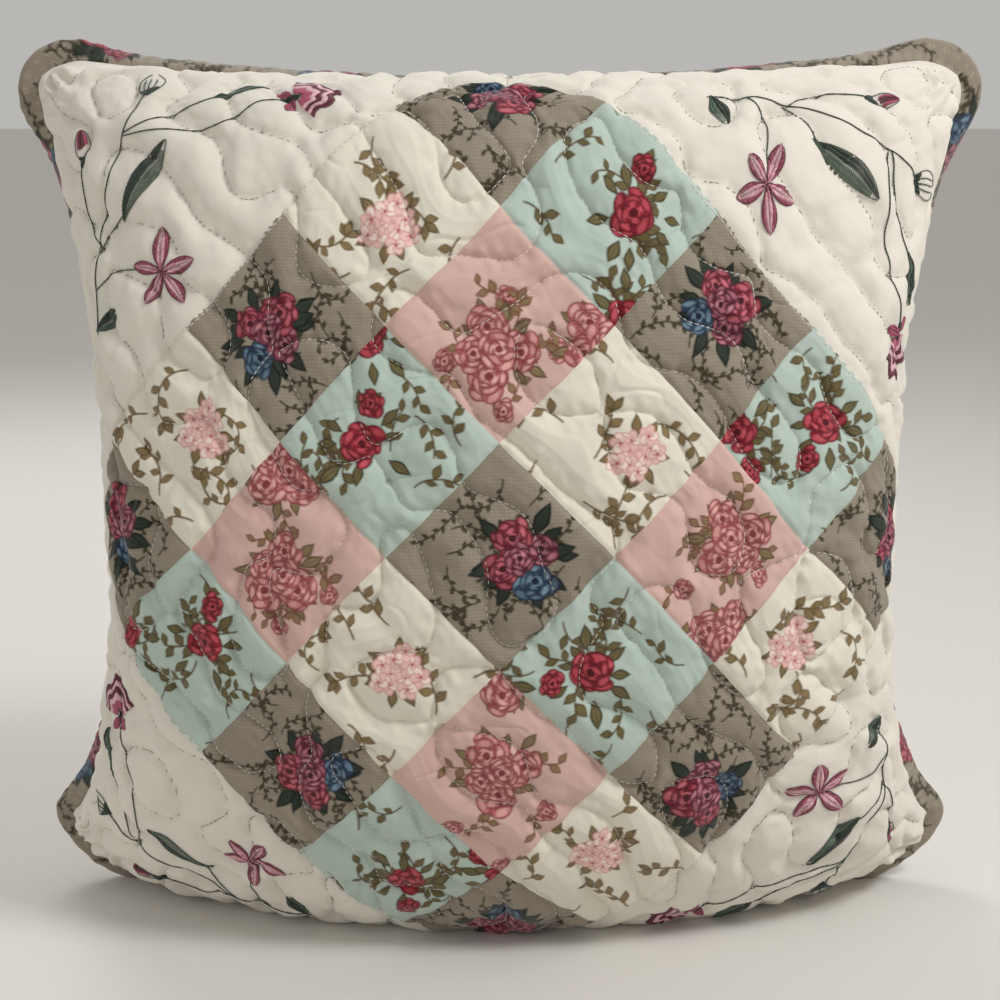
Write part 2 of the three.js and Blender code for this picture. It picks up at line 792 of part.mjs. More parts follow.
const pillow = new THREE.Group();
pillow.name = 'throw_pillow';
pillow.add(...makeFrontLayers(), ...makePatches(), ...makeSprays());
pillow.add(...makeBinding(), ...makeBackPanels(), ...makeZipChain());
pillow.add(makeSlider(), makePull(), ...makeInsert());

export default pillow;
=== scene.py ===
"""A quilted patchwork throw pillow standing on its lower edge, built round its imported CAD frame."""
import math

import bpy
import numpy as np
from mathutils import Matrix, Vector


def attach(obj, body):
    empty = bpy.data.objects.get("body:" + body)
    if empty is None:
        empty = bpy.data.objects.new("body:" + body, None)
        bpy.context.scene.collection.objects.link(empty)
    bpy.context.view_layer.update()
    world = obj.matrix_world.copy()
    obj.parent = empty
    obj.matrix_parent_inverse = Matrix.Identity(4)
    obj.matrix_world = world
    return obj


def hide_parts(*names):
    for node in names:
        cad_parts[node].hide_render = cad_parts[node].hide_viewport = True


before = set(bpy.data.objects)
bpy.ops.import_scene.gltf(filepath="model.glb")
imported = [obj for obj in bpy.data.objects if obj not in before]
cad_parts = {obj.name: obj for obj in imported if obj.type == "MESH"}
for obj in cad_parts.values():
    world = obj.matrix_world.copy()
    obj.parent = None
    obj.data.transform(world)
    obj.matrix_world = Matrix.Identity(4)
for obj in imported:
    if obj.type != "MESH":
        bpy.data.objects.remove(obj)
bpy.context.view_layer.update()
MM = 0.001

# ---- The cushion's form, in mm, with the same driving dimensions as the CAD ----
COVER_SIDE = 457.0
CORNER_RADIUS = 35.0
BULGE = 86.0
SIDE_DRAW, TOP_DRAW, BOTTOM_DRAW, EAR_DRAW = 0.255, 0.165, 0.115, 0.055
FULLNESS = 0.8
OVERHANG = 13.0
SEAM_SET = 12.0
SETTLE = 12.0
EAR_DROP, EAR_LIFT, EAR_BACK, EAR_REACH, EAR_POINT = 10.0, 48.0, 16.0, 2.2, 1.5
TUCK, TUCK_HEIGHT = 10.0, 80.0
CLOTH, LAYER_GAP = 0.5, 0.3
PATCH_SIDE, PATCH_ROWS, TIP_MARGIN = 62.0, 5, 30.0
BINDING_WIDTH, BINDING_THICK, BINDING_GAP = 11.0, 7.0, 0.4
ZIP_DROP, ZIP_LENGTH, ZIP_BEND = 70.0, 300.0, 0.61
ZIP_FLAT, ZIP_FADE = 28.0, 40.0
PLACKET_HALF = 6.5
HALF = COVER_SIDE / 2
ZIP_RADIUS = ZIP_BEND * HALF * HALF / (BULGE - SEAM_SET)
ZIP_HALF_ANGLE = ZIP_LENGTH / 2 / ZIP_RADIUS
BLOCK_REACH = PATCH_ROWS * PATCH_SIDE / 2
BLOCK_CORNER = (BLOCK_REACH * math.sqrt(2) - (HALF - TIP_MARGIN)) / (math.sqrt(2) - 1)
CENTRE_HEIGHT = HALF * (1 - BOTTOM_DRAW) - SETTLE
ZIP_HEIGHT = CENTRE_HEIGHT - ZIP_DROP
FRONT, BACK = -1, 1


def smooth_step(low, high, x):
    t = np.clip((x - low) / (high - low), 0, 1)
    return t * t * (3 - 2 * t)


def press_up(z, level, reach=6.0):
    above = z - level
    rounded = level + (above + reach) ** 2 / (4 * reach)
    return np.where(above >= reach, z, np.where(above <= -reach, level, rounded))


def flat_point(p, q, side=HALF):
    """Where a point given as -1..1 each way lies on the flat, round-cornered panel."""
    straight = side - CORNER_RADIUS
    a = np.clip((abs(p) * side - straight) / CORNER_RADIUS, 0, 1)
    b = np.clip((abs(q) * side - straight) / CORNER_RADIUS, 0, 1)
    corner = (a > 0) & (b > 0)
    u = np.where(corner, straight + CORNER_RADIUS * a * np.sqrt(1 - b * b / 2), abs(p) * side)
    v = np.where(corner, straight + CORNER_RADIUS * b * np.sqrt(1 - a * a / 2), abs(q) * side)
    return np.sign(p) * u, np.sign(q) * v


def towards_corner(along, ease=0.25):
    return ((np.hypot(along, ease) - ease) / (math.hypot(1, ease) - ease)) ** EAR_POINT


def draw_in(share, along):
    return 1 - EAR_DRAW - (share - EAR_DRAW) * (1 - towards_corner(along))


def swell(across, along):
    t = np.clip((abs(across) - 0.5) / 0.5, 0, 1)
    return OVERHANG * np.sign(across) * np.sin(t * math.pi) ** 2 * (1 - along ** 6)


def turn_of_ear(p, q):
    return abs(p * q) ** EAR_REACH


def free_height(face, p, q, side=HALF):
    v = flat_point(p, q, side)[1]
    rounding = FULLNESS * (1 - p * p) * side * (np.sin(q * math.pi / 2) - q)
    vertical = np.where(q > 0, TOP_DRAW, BOTTOM_DRAW)
    share = SIDE_DRAW + (vertical - SIDE_DRAW) * smooth_step(0, 0.8, abs(q))
    ear = turn_of_ear(p, q) * np.where(q > 0, -EAR_DROP, EAR_LIFT)
    swollen = np.where((face == FRONT) & (q > 0), swell(q, p), 0)
    return CENTRE_HEIGHT + draw_in(share, p) * (v + rounding) + ear + swollen


def zip_axis_y():
    stand = math.sqrt(math.cos(ZIP_DROP / HALF * math.pi / 2))
    bulge = BULGE + LAYER_GAP + CLOTH - SEAM_SET
    return BINDING_THICK / 2 + bulge * stand - ZIP_RADIUS


def near_zip(x, z):
    reach = ZIP_RADIUS * math.sin(ZIP_HALF_ANGLE)
    near = 1 - smooth_step(ZIP_FLAT, ZIP_FLAT + ZIP_FADE, abs(z - ZIP_HEIGHT))
    return near * (1 - smooth_step(reach + 4, reach + 24, abs(x)))


def form_point(face, p, q, inset=0.0, slack=0.0):
    """Points of the stuffed form, in mm. inset and slack shrink it for what lies inside."""
    side = HALF - inset
    seam_gap = BINDING_THICK / 2 if inset == 0 else 0.0
    bulge = BULGE - slack - face * SEAM_SET + (LAYER_GAP + CLOTH if face == BACK else 0)
    u = flat_point(p, q, side)[0]
    rounding = FULLNESS * (1 - q * q) * side * (np.sin(p * math.pi / 2) - p)
    x = draw_in(SIDE_DRAW, q) * (u + rounding) + (swell(p, q) if face == FRONT else 0)
    stand = np.sqrt(np.clip(np.cos(p * math.pi / 2) * np.cos(q * math.pi / 2), 0, 1))
    y = seam_gap + bulge * stand
    z = free_height(face, p, q, side)
    floor = 0.0
    if face == BACK:
        floor = BINDING_THICK + BINDING_GAP + CLOTH
        level = free_height(face, p * 0, q, side)
        share = near_zip(x, level) if inset == 0 else 0
        widest = ZIP_RADIUS * math.sin(ZIP_HALF_ANGLE * 1.3)
        arc = zip_axis_y() + np.sqrt(ZIP_RADIUS ** 2 - np.minimum(abs(x), widest) ** 2)
        y = y + (arc - y) * share
        z = z + (level - z) * share
    if inset:
        floor = BINDING_THICK + inset / 4
    z = press_up(z, floor)
    low = 1 - np.clip(z / TUCK_HEIGHT, 0, 1)
    back = SEAM_SET + turn_of_ear(p, q) * EAR_BACK + TUCK * low * low
    return np.stack([x, face * y + back, z], -1)


# ---- Cloth simulation of the cover's two panels, stuffed and held at their seam ----
CELLS = 64
FRAMES = 26
SWELL_CAP = 9.0


def panel_grid(cells):
    line = np.linspace(-1, 1, cells + 1)
    return np.meshgrid(line, line, indexing="ij")


def grid_faces(rows, columns, start=0, flip=False):
    i, j = np.meshgrid(np.arange(rows - 1), np.arange(columns - 1), indexing="ij")
    a = start + i * columns + j
    quads = np.stack([a, a + columns, a + columns + 1, a + 1], -1).reshape(-1, 4)
    return quads[:, ::-1] if flip else quads


def mesh_object(name, points_mm, faces):
    """A smooth mesh in the scene. faces is an array, or a list where their corners differ in number."""
    mesh = bpy.data.meshes.new(name)
    faces = faces.tolist() if isinstance(faces, np.ndarray) else faces
    mesh.from_pydata((points_mm.reshape(-1, 3) * MM).tolist(), [], faces)
    mesh.polygons.foreach_set("use_smooth", [True] * len(mesh.polygons))
    piece = bpy.data.objects.new(name, mesh)
    bpy.context.scene.collection.objects.link(piece)
    return piece


def stuffed_panels():
    """The front and back panels' points after the cloth has swelled and wrinkled."""
    p, q = panel_grid(CELLS)
    start = np.stack([form_point(FRONT, p, q), form_point(BACK, p, q)])
    u, v = flat_point(p, q)
    flat = np.stack([u, u * 0, v + CENTRE_HEIGHT], -1)
    size = p.size
    faces = np.concatenate([grid_faces(CELLS + 1, CELLS + 1),
                            grid_faces(CELLS + 1, CELLS + 1, size, flip=True)])
    ripple = 1.2 * np.sin(p * 37 + q * 11) * np.cos(q * 31 - p * 7)
    first = start.copy()
    first[0][..., 1] += ripple
    first[1][..., 1] -= ripple
    cloth = mesh_object("cloth_trial", first, faces)
    cloth.shape_key_add(name="Basis")
    rest = cloth.shape_key_add(name="flat")
    rest.data.foreach_set("co", (np.stack([flat, flat]) * MM).ravel())
    rest.value = 0
    held = np.zeros((2,) + p.shape)
    held[:, [0, -1], :] = 1
    held[:, :, [0, -1]] = 1
    held[0][start[0][..., 2] < 0.6] = 1
    held[1] = np.maximum(held[1], near_zip(start[1][..., 0], start[1][..., 2]) > 0.97)
    group = cloth.vertex_groups.new(name="held")
    group.add(np.flatnonzero(held.ravel()).tolist(), 1.0, "REPLACE")
    modifier = cloth.modifiers.new("cloth", "CLOTH")
    settings = modifier.settings
    settings.quality = 6
    settings.mass = 0.0004
    settings.tension_stiffness = 80
    settings.compression_stiffness = 12
    settings.shear_stiffness = 20
    settings.bending_stiffness = 0.6
    settings.tension_damping = settings.compression_damping = settings.shear_damping = 10
    settings.bending_damping = 1
    settings.air_damping = 5
    settings.use_pressure = True
    settings.uniform_pressure_force = 5
    settings.vertex_group_mass = "held"
    settings.rest_shape_key = rest
    settings.effector_weights.gravity = 0
    modifier.collision_settings.use_collision = False
    modifier.point_cache.frame_end = FRAMES
    for number in range(1, FRAMES + 1):
        bpy.context.scene.frame_set(number)
    shown = cloth.evaluated_get(bpy.context.evaluated_depsgraph_get())
    result = np.empty(size * 6)
    shown.data.vertices.foreach_get("co", result)
    bpy.data.objects.remove(cloth)
    bpy.context.scene.frame_set(1)
    moved = result.reshape(start.shape) / MM - start
    length = np.linalg.norm(moved, axis=-1, keepdims=True)
    moved *= SWELL_CAP * np.tanh(length / SWELL_CAP) / np.maximum(length, 1e-6)
    ended = start + moved
    ended[0][..., 2] = np.maximum(ended[0][..., 2], 0)
    return ended


PANELS = stuffed_panels()


def cubic_weights(t):
    """Catmull-Rom weights and their slopes for a place t, 0 to 1, between two points."""
    w = np.stack([-t + 2 * t ** 2 - t ** 3, 2 - 5 * t ** 2 + 3 * t ** 3,
                  t + 4 * t ** 2 - 3 * t ** 3, -t ** 2 + t ** 3], -1) / 2
    s = np.stack([-1 + 4 * t - 3 * t ** 2, -10 * t + 9 * t ** 2,
                  1 + 8 * t - 9 * t ** 2, -2 * t + 3 * t ** 2], -1) / 2
    return w, s


def padded_grid(grid):
    rows = np.concatenate([2 * grid[:1] - grid[1:2], grid, 2 * grid[-1:] - grid[-2:-1]])
    return np.concatenate([2 * rows[:, :1] - rows[:, 1:2], rows, 2 * rows[:, -1:] - rows[:, -2:-1]], 1)


PADDED = [padded_grid(panel) for panel in PANELS]


def lift(face, p, q, offset=0.0):
    """Points on a stuffed panel and its outward normals; offset moves them outwards, in mm."""
    grid = PADDED[0 if face == FRONT else 1]
    x = np.clip((p + 1) / 2 * CELLS, 0, CELLS - 1e-9)
    y = np.clip((q + 1) / 2 * CELLS, 0, CELLS - 1e-9)
    i, j = x.astype(int), y.astype(int)
    wx, sx = cubic_weights(x - i)
    wy, sy = cubic_weights(y - j)
    point = np.zeros(p.shape + (3,))
    along_p = np.zeros_like(point)
    along_q = np.zeros_like(point)
    for a in range(4):
        for b in range(4):
            value = grid[i + a, j + b]
            point += value * (wx[..., a] * wy[..., b])[..., None]
            along_p += value * (sx[..., a] * wy[..., b])[..., None]
            along_q += value * (wx[..., a] * sy[..., b])[..., None]
    normal = -face * np.cross(along_p, along_q)
    normal /= np.maximum(np.linalg.norm(normal, axis=-1, keepdims=True), 1e-9)
    return point + normal * np.asarray(offset)[..., None], normal


# ---- Quilting: one winding line, from the zero line of a sum of waves ----
QUILT_SPACING = 20.0
QUILT_PUFF = 2.3
quilt_random = np.random.default_rng(11)
QUILT_TURNS = quilt_random.uniform(0, 2 * math.pi, 16)
QUILT_PHASES = quilt_random.uniform(0, 2 * math.pi, 16)
QUILT_NUMBERS = math.pi / QUILT_SPACING * quilt_random.uniform(0.85, 1.2, 16)


def quilt_wave(u, v):
    """The field whose zero line is stitched, and how steep it is."""
    total = np.zeros(np.broadcast(u, v).shape)
    du = np.zeros_like(total)
    dv = np.zeros_like(total)
    for turn, phase, number in zip(QUILT_TURNS, QUILT_PHASES, QUILT_NUMBERS):
        kx, ky = number * math.cos(turn), number * math.sin(turn)
        angle = kx * u + ky * v + phase
        total += np.cos(angle)
        du -= kx * np.sin(angle)
        dv -= ky * np.sin(angle)
    return total, np.hypot(du, dv)


def wander(u, v, wavelength, seed):
    """Smooth unevenness of about -1 to 1."""
    random = np.random.default_rng(seed)
    total = np.zeros(np.broadcast(u, v).shape)
    for turn, phase in zip(random.uniform(0, 2 * math.pi, 9), random.uniform(0, 2 * math.pi, 9)):
        number = 2 * math.pi / wavelength * (0.7 + 0.6 * random.random())
        total += np.sin(number * (math.cos(turn) * u + math.sin(turn) * v) + phase)
    return total / 4


def on_point(along, across):
    return (along + across) * math.sqrt(0.5), (along - across) * math.sqrt(0.5)


def along_rows(u, v):
    return (u + v) * math.sqrt(0.5), (u - v) * math.sqrt(0.5)


def block_distance(u, v):
    """Distance inside (positive) or outside (negative) the block's rounded outline."""
    s, t = along_rows(u, v)
    ds, dt = abs(s) - BLOCK_REACH + BLOCK_CORNER, abs(t) - BLOCK_REACH + BLOCK_CORNER
    outside = np.hypot(np.maximum(ds, 0), np.maximum(dt, 0))
    return BLOCK_CORNER - outside - np.minimum(np.maximum(ds, dt), 0)


def ear_pleats(u, v):
    """Gathers that fan out of each corner."""
    across, up = HALF - abs(u), HALF - abs(v)
    away = np.hypot(across, up)
    turn = np.arctan2(up, across)
    fold = np.cos(turn * 17 + np.sign(u) + 2 * np.sign(v) + 0.9 * wander(u, v, 45.0, 9))
    return 1.5 * fold * np.exp(-((away - 26) / 20) ** 2)


def front_relief(u, v):
    """Height of the quilted front over its smooth form, in mm."""
    wave, slope = quilt_wave(u, v)
    distance = np.minimum(abs(wave) / np.maximum(slope, 0.05), 14)
    puff = QUILT_PUFF * (1 - np.exp(-distance / 1.7)) + 0.09 * distance
    near = np.exp(-distance / 6)
    pucker = near * (0.5 * wander(u, v, 6.5, 3) + 0.5 * wander(u, v, 11.0, 4))
    drape = wander(u, v, 60.0, 5) * 0.7 + wander(u, v, 17.0, 6) * 0.55
    crease = wander(u, v, 30.0, 7)
    drape -= 0.8 * np.exp(-(crease / 0.12) ** 2) * smooth_step(-0.2, 0.9, wander(u, v, 48.0, 8))
    drape += ear_pleats(u, v)
    inside = block_distance(u, v)
    s, t = along_rows(u, v)
    half_row = PATCH_SIDE / 2
    seam_s = np.minimum((s - half_row) % PATCH_SIDE, (half_row - s) % PATCH_SIDE)
    seam_t = np.minimum((t - half_row) % PATCH_SIDE, (half_row - t) % PATCH_SIDE)
    seam = np.minimum(seam_s, seam_t)
    groove = np.where(inside > 0, 0.75 * np.exp(-(seam / 1.1) ** 2), 0)
    edge = 0.9 * np.exp(-(inside / 2.0) ** 2)
    rim = smooth_step(0, 11, HALF - np.maximum(abs(u), abs(v)))
    return (puff + pucker + drape - groove - edge) * rim


# ---- Small helpers for pieces ----

def set_tint(mesh, tint):
    colour = mesh.color_attributes.new("tint", "FLOAT_COLOR", "POINT")
    colour.data.foreach_set("color", np.column_stack([tint, np.ones(len(tint))]).ravel())


def set_layers(piece, flat_mm, tint=None):
    """Gives a mesh its cloth coordinates, in cm, and the colour printed on it."""
    mesh = piece.data
    loops = np.empty(len(mesh.loops), dtype=np.int32)
    mesh.loops.foreach_get("vertex_index", loops)
    layer = mesh.uv_layers.new(name="cloth")
    layer.data.foreach_set("uv", (np.asarray(flat_mm)[loops] / 10).ravel())
    if tint is not None:
        set_tint(mesh, tint)


def cloth_sheet(name, points, u, v, flip=False, tint=None):
    """A sheet from a grid of points. u and v are their places on the flat cloth, in mm."""
    piece = mesh_object(name, points, grid_faces(*points.shape[:2], flip=flip))
    set_layers(piece, np.stack([u, v], -1).reshape(-1, 2), tint)
    return piece


def to_linear(values):
    c = np.asarray(values, float) / 255
    return np.where(c <= 0.04045, c / 12.92, ((c + 0.055) / 1.055) ** 2.4)


def finish_piece(piece, material, stands_for=()):
    piece.data.materials.append(material)
    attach(piece, "cushion")
    if stands_for:
        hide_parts(*stands_for)
    return piece


# ---- Materials ----

def new_material(name):
    material = bpy.data.materials.new(name)
    material.use_nodes = True
    nodes = material.node_tree.nodes
    return material, nodes, material.node_tree.links, nodes["Principled BSDF"]


def set_inputs(node, **values):
    """Sets a node's inputs; an underscore in a keyword stands for a space in the input's name."""
    for name, value in values.items():
        node.inputs[name.replace("_", " ")].default_value = value
    return node


def cloth_material(name, colour, depth):
    """Plain weave. With no colour it shows the colour printed on the mesh."""
    material, nodes, links, shader = new_material(name)
    set_inputs(shader, Roughness=0.9, Sheen_Weight=0.25, Sheen_Roughness=0.5, Specular_IOR_Level=0.25)
    place = nodes.new("ShaderNodeTexCoord")
    waves = []
    for direction in ("X", "Y"):
        wave = nodes.new("ShaderNodeTexWave")
        wave.bands_direction = direction
        set_inputs(wave, Scale=14.0, Distortion=1.2, Detail=1.0)
        links.new(place.outputs["UV"], wave.inputs["Vector"])
        waves.append(wave)
    weave = nodes.new("ShaderNodeMath")
    weave.operation = "MULTIPLY"
    links.new(waves[0].outputs["Fac"], weave.inputs[0])
    links.new(waves[1].outputs["Fac"], weave.inputs[1])
    slub = set_inputs(nodes.new("ShaderNodeTexNoise"), Scale=9.0, Detail=6.0, Roughness=0.65)
    links.new(place.outputs["UV"], slub.inputs["Vector"])
    height = nodes.new("ShaderNodeMath")
    height.operation = "ADD"
    links.new(weave.outputs[0], height.inputs[0])
    links.new(slub.outputs["Fac"], height.inputs[1])
    bump = set_inputs(nodes.new("ShaderNodeBump"), Strength=depth, Distance=0.0002)
    links.new(height.outputs[0], bump.inputs["Height"])
    links.new(bump.outputs["Normal"], shader.inputs["Normal"])
    # The colour is multiplied down where the weave and slub lie low. This is partly real yarn tone from
    # the slub and partly painted shade in the weave's hollows.
    shade = set_inputs(nodes.new("ShaderNodeMapRange"), From_Max=1.6, To_Min=0.9, To_Max=1.06)
    links.new(height.outputs[0], shade.inputs["Value"])
    mixer = nodes.new("ShaderNodeMix")
    mixer.data_type = "RGBA"
    mixer.blend_type = "MULTIPLY"
    mixer.inputs["Factor"].default_value = 1.0
    if colour is None:
        tint = nodes.new("ShaderNodeAttribute")
        tint.attribute_name = "tint"
        links.new(tint.outputs["Color"], mixer.inputs["A"])
    else:
        mixer.inputs["A"].default_value = (*to_linear(colour), 1)
    links.new(shade.outputs[0], mixer.inputs["B"])
    links.new(mixer.outputs["Result"], shader.inputs["Base Color"])
    return material


# ---- Printing: motifs painted on a fine grid of cloth points ----
TWIG_STEP = 1.2


class Print:
    """A grid of points on the flat cloth, step mm apart, and the colour at each."""

    def __init__(self, width, length, step, ground):
        self.step = step
        self.x = np.arange(round(width / step) + 1) * step
        self.y = np.arange(round(length / step) + 1) * step
        self.rgb = np.ones((len(self.x), len(self.y), 3)) * to_linear(ground)

    def window(self, x0, y0, x1, y1):
        i0, i1 = np.searchsorted(self.x, [x0, x1])
        j0, j1 = np.searchsorted(self.y, [y0, y1])
        return slice(i0, i1), slice(j0, j1)

    def cover(self, area, inside, colour, strength=1.0):
        """Lays a colour where inside, a distance in mm, is positive."""
        alpha = np.clip(inside / self.step + 0.5, 0, 1)[..., None] * strength
        self.rgb[area] += (colour - self.rgb[area]) * alpha

    def oval(self, x, y, long, wide, turn, colour, point=0.0, strength=1.0):
        """An oval, or with point above 0 one that narrows at both ends like a leaf."""
        reach = max(long, wide) / 2 + 1
        area = self.window(x - reach, y - reach, x + reach, y + reach)
        if area[0].start == area[0].stop or area[1].start == area[1].stop:
            return
        dx, dy = self.x[area[0]][:, None] - x, self.y[area[1]][None, :] - y
        s = (dx * math.cos(turn) + dy * math.sin(turn)) / (long / 2)
        t = (dy * math.cos(turn) - dx * math.sin(turn)) / (wide / 2)
        edge = np.hypot(s, t) if point == 0 else abs(t) + np.clip(abs(s), 0, 3) ** (2 - point)
        self.cover(area, (1 - edge) * min(long, wide) / 2, colour, strength)

    def stroke(self, points, width, colour, strength=1.0):
        for (x0, y0), (x1, y1) in zip(points[:-1], points[1:]):
            pad = width + 1
            area = self.window(min(x0, x1) - pad, min(y0, y1) - pad, max(x0, x1) + pad, max(y0, y1) + pad)
            if area[0].start == area[0].stop or area[1].start == area[1].stop:
                continue
            dx, dy = self.x[area[0]][:, None] - x0, self.y[area[1]][None, :] - y0
            length = max(math.hypot(x1 - x0, y1 - y0), 1e-6)
            ex, ey = (x1 - x0) / length, (y1 - y0) / length
            along = np.clip(dx * ex + dy * ey, 0, length)
            away = np.hypot(dx - along * ex, dy - along * ey)
            self.cover(area, width / 2 - away, colour, strength)


def step_from(x, y, turn, away):
    """The place away mm from x, y in the direction turn."""
    return x + math.cos(turn) * away, y + math.sin(turn) * away


def paint_leaf(cloth, x, y, long, turn, dark, light, wide=0.42):
    """A leaf whose stalk end is at x, y."""
    cx, cy = step_from(x, y, turn, long / 2)
    cloth.oval(cx, cy, long + 0.7, long * wide + 0.7, turn, dark, 0.5)
    cloth.oval(cx, cy, long * 0.86, long * wide * 0.72, turn, light, 0.5)
    cloth.stroke([(x, y), step_from(x, y, turn, long * 0.85)], 0.35, dark, 0.8)


def paint_rose(cloth, x, y, size, dark, mid, light, random):
    """A full rose: uneven petals overlap inwards, each with a dark edge and a shaded throat."""
    spin = random.uniform(0, 6.28)
    for ring, (count, out, petal) in enumerate([(6, 0.34, 0.42), (5, 0.23, 0.38), (4, 0.11, 0.3)]):
        for k in range(count):
            turn = spin + ring * 0.7 + k * 2 * math.pi / count + random.uniform(-0.3, 0.3)
            reach = out * size * random.uniform(0.8, 1.2)
            wide = petal * size * random.uniform(0.8, 1.25)
            deep = wide * random.uniform(0.6, 0.85)
            across = turn + math.pi / 2 + random.uniform(-0.5, 0.5)
            tone = random.uniform(0.1, 0.6)
            away = np.array([math.cos(turn), math.sin(turn)])
            px, py = np.array([x, y]) + away * reach
            cloth.oval(px, py, wide + 0.8, deep + 0.8, across, dark)
            cloth.oval(px, py, wide, deep, across, dark * tone + mid * (1 - tone))
            rim = (px, py) + away * deep * 0.2
            cloth.oval(*rim, wide * 0.74, deep * 0.42, across, light, 0, random.uniform(0.45, 0.95))
            for lean in (-0.25, 0.2):
                side = np.array([-away[1], away[0]]) * wide * lean
                streak = [(px, py) - away * deep * 0.3 + side, (px, py) + away * deep * 0.35 + side * 1.4]
                cloth.stroke(streak, 0.45, dark, 0.55)
    cloth.oval(x, y, size * 0.2, size * 0.14, spin, dark)
    for k in range(3):
        turn = spin + k * 2.1
        arc = [step_from(x, y, turn + a, size * 0.12) for a in (0, 0.5, 1.0, 1.5)]
        cloth.stroke(arc, 0.35, light)


def paint_twig(cloth, x, y, turn, long, random, bark, leaf, leaf_size, every, width, leaf_wide=0.5):
    """A scrolling twig with small leaves on alternate sides. Returns where it ends."""
    points = [(x, y)]
    bend = random.choice([-1, 1]) * random.uniform(0.05, 0.13)
    walked, side = 0.0, 1
    while walked < long:
        turn += bend
        bend += random.uniform(-0.02, 0.02)
        x, y = step_from(x, y, turn, TWIG_STEP)
        points.append((x, y))
        walked += TWIG_STEP
        if walked % every < TWIG_STEP:
            side = -side
            angle = turn + side * random.uniform(0.6, 1.1)
            paint_leaf(cloth, x, y, leaf_size * random.uniform(0.8, 1.2), angle, bark, leaf, leaf_wide)
    cloth.stroke(points, width, bark)
    return x, y, turn


def paint_bouquet(cloth, x, y, blooms, leaf_dark, leaf_light, leaf_size, leaf_count, random):
    """Leaves all round, then the roses. blooms lists (dx, dy, size, (dark, mid, light))."""
    for k in range(leaf_count):
        turn = k * 2 * math.pi / leaf_count + random.uniform(-0.3, 0.3)
        reach = random.uniform(0.35, 0.75) * max(b[2] for b in blooms)
        paint_leaf(cloth, *step_from(x, y, turn, reach), leaf_size * random.uniform(0.8, 1.25), turn,
                   leaf_dark, leaf_light)
    for dx, dy, size, (dark, mid, light) in blooms:
        paint_rose(cloth, x + dx, y + dy, size, dark, mid, light, random)


def rgb(*values):
    return to_linear(values)


CRIMSON = (rgb(66, 12, 28), rgb(146, 38, 60), rgb(206, 112, 124))
WINE = (rgb(60, 16, 34), rgb(132, 46, 70), rgb(204, 136, 146))
BLUE = (rgb(18, 28, 46), rgb(48, 72, 100), rgb(118, 144, 162))
RED = (rgb(80, 10, 24), rgb(156, 28, 48), rgb(206, 88, 98))
DUSTY = (rgb(126, 54, 58), rgb(190, 108, 108), rgb(236, 182, 174))
BLUSH = (rgb(208, 146, 142), rgb(236, 196, 188), rgb(246, 224, 214))
LINEN_GROUND = (148, 138, 122)
CREAM_GROUND = (230, 225, 208)
MINT_GROUND = (184, 200, 189)
ROSE_GROUND = (216, 180, 170)


def print_linen(cloth, random, bouquets):
    """Grey-brown ground with pale pin dots, dark scrolling twigs, and bouquets with one blue rose."""
    width, length = cloth.x[-1], cloth.y[-1]
    dots = np.sin(cloth.x[:, None] * 3.3) * np.sin(cloth.y[None, :] * 3.3)
    cloth.rgb *= (0.94 + 0.3 * np.clip(dots * 3 - 1.2, 0, 1))[..., None]
    bark, leaf = rgb(56, 50, 34), rgb(78, 72, 44)
    for x in np.arange(3, width, 12.0):
        for y in np.arange(3, length, 12.0):
            jx, jy = x + random.uniform(-5, 5), y + random.uniform(-5, 5)
            paint_twig(cloth, jx, jy, random.uniform(0, 6.28), random.uniform(16, 28), random, bark, leaf,
                       2.6, 2.5, 0.6, 0.36)
    for x, y in bouquets:
        turn = random.uniform(0, 6.28)
        blooms = [(*step_from(0, 0, turn + angle, out), size, colours) for angle, out, size, colours in (
            (0, 10, 15, BLUE), (1.5, 8.5, 14, WINE), (3.0, 9.5, 16, CRIMSON), (4.6, 8.5, 14, CRIMSON),
            (3.8, 1, 13.5, WINE))]
        paint_bouquet(cloth, x, y, blooms, rgb(20, 26, 22), rgb(44, 54, 42), 11.5, 14, random)


def print_cream(cloth, random, bouquets):
    """Cream ground with olive-brown branches and pale pink blossom heads."""
    bark, dark, light = rgb(112, 92, 62), rgb(92, 76, 46), rgb(142, 122, 84)
    width, length = cloth.x[-1], cloth.y[-1]
    for x in np.arange(6, width, 21.0):
        for y in np.arange(6, length, 21.0):
            jx, jy = x + random.uniform(-6, 6), y + random.uniform(-6, 6)
            turn = random.uniform(0, 6.28)
            long = random.uniform(16, 26)
            ex, ey, forward = paint_twig(cloth, jx, jy, turn, long, random, bark, light, 5.4, 4.0, 0.75)
            for lean in (-0.5, 0.5):
                paint_leaf(cloth, ex, ey, 6.5, forward + lean, dark, light)
    for x, y in bouquets:
        for k in range(7):
            turn = k * 0.9 + random.uniform(-0.2, 0.2)
            paint_leaf(cloth, *step_from(x, y, turn, 6), 8.5, turn, dark, light)
        for k in range(11):
            turn, out = k * 2.4 + random.uniform(-0.3, 0.3), 9.5 * math.sqrt(k / 11)
            fx, fy = step_from(x, y, turn, out)
            for petal in range(5):
                angle = petal * 1.257 + k
                px, py = step_from(fx, fy, angle, 2.1)
                cloth.oval(px, py, 4.6, 3.7, angle, BLUSH[0])
                cloth.oval(px, py, 3.8, 3.0, angle, BLUSH[1 + (petal + k) % 2])
                cloth.oval((px + fx) / 2, (py + fy) / 2, 1.9, 1.0, angle, BLUSH[0], 0, 0.7)
            cloth.oval(fx, fy, 1.2, 1.2, 0, rgb(176, 84, 90))


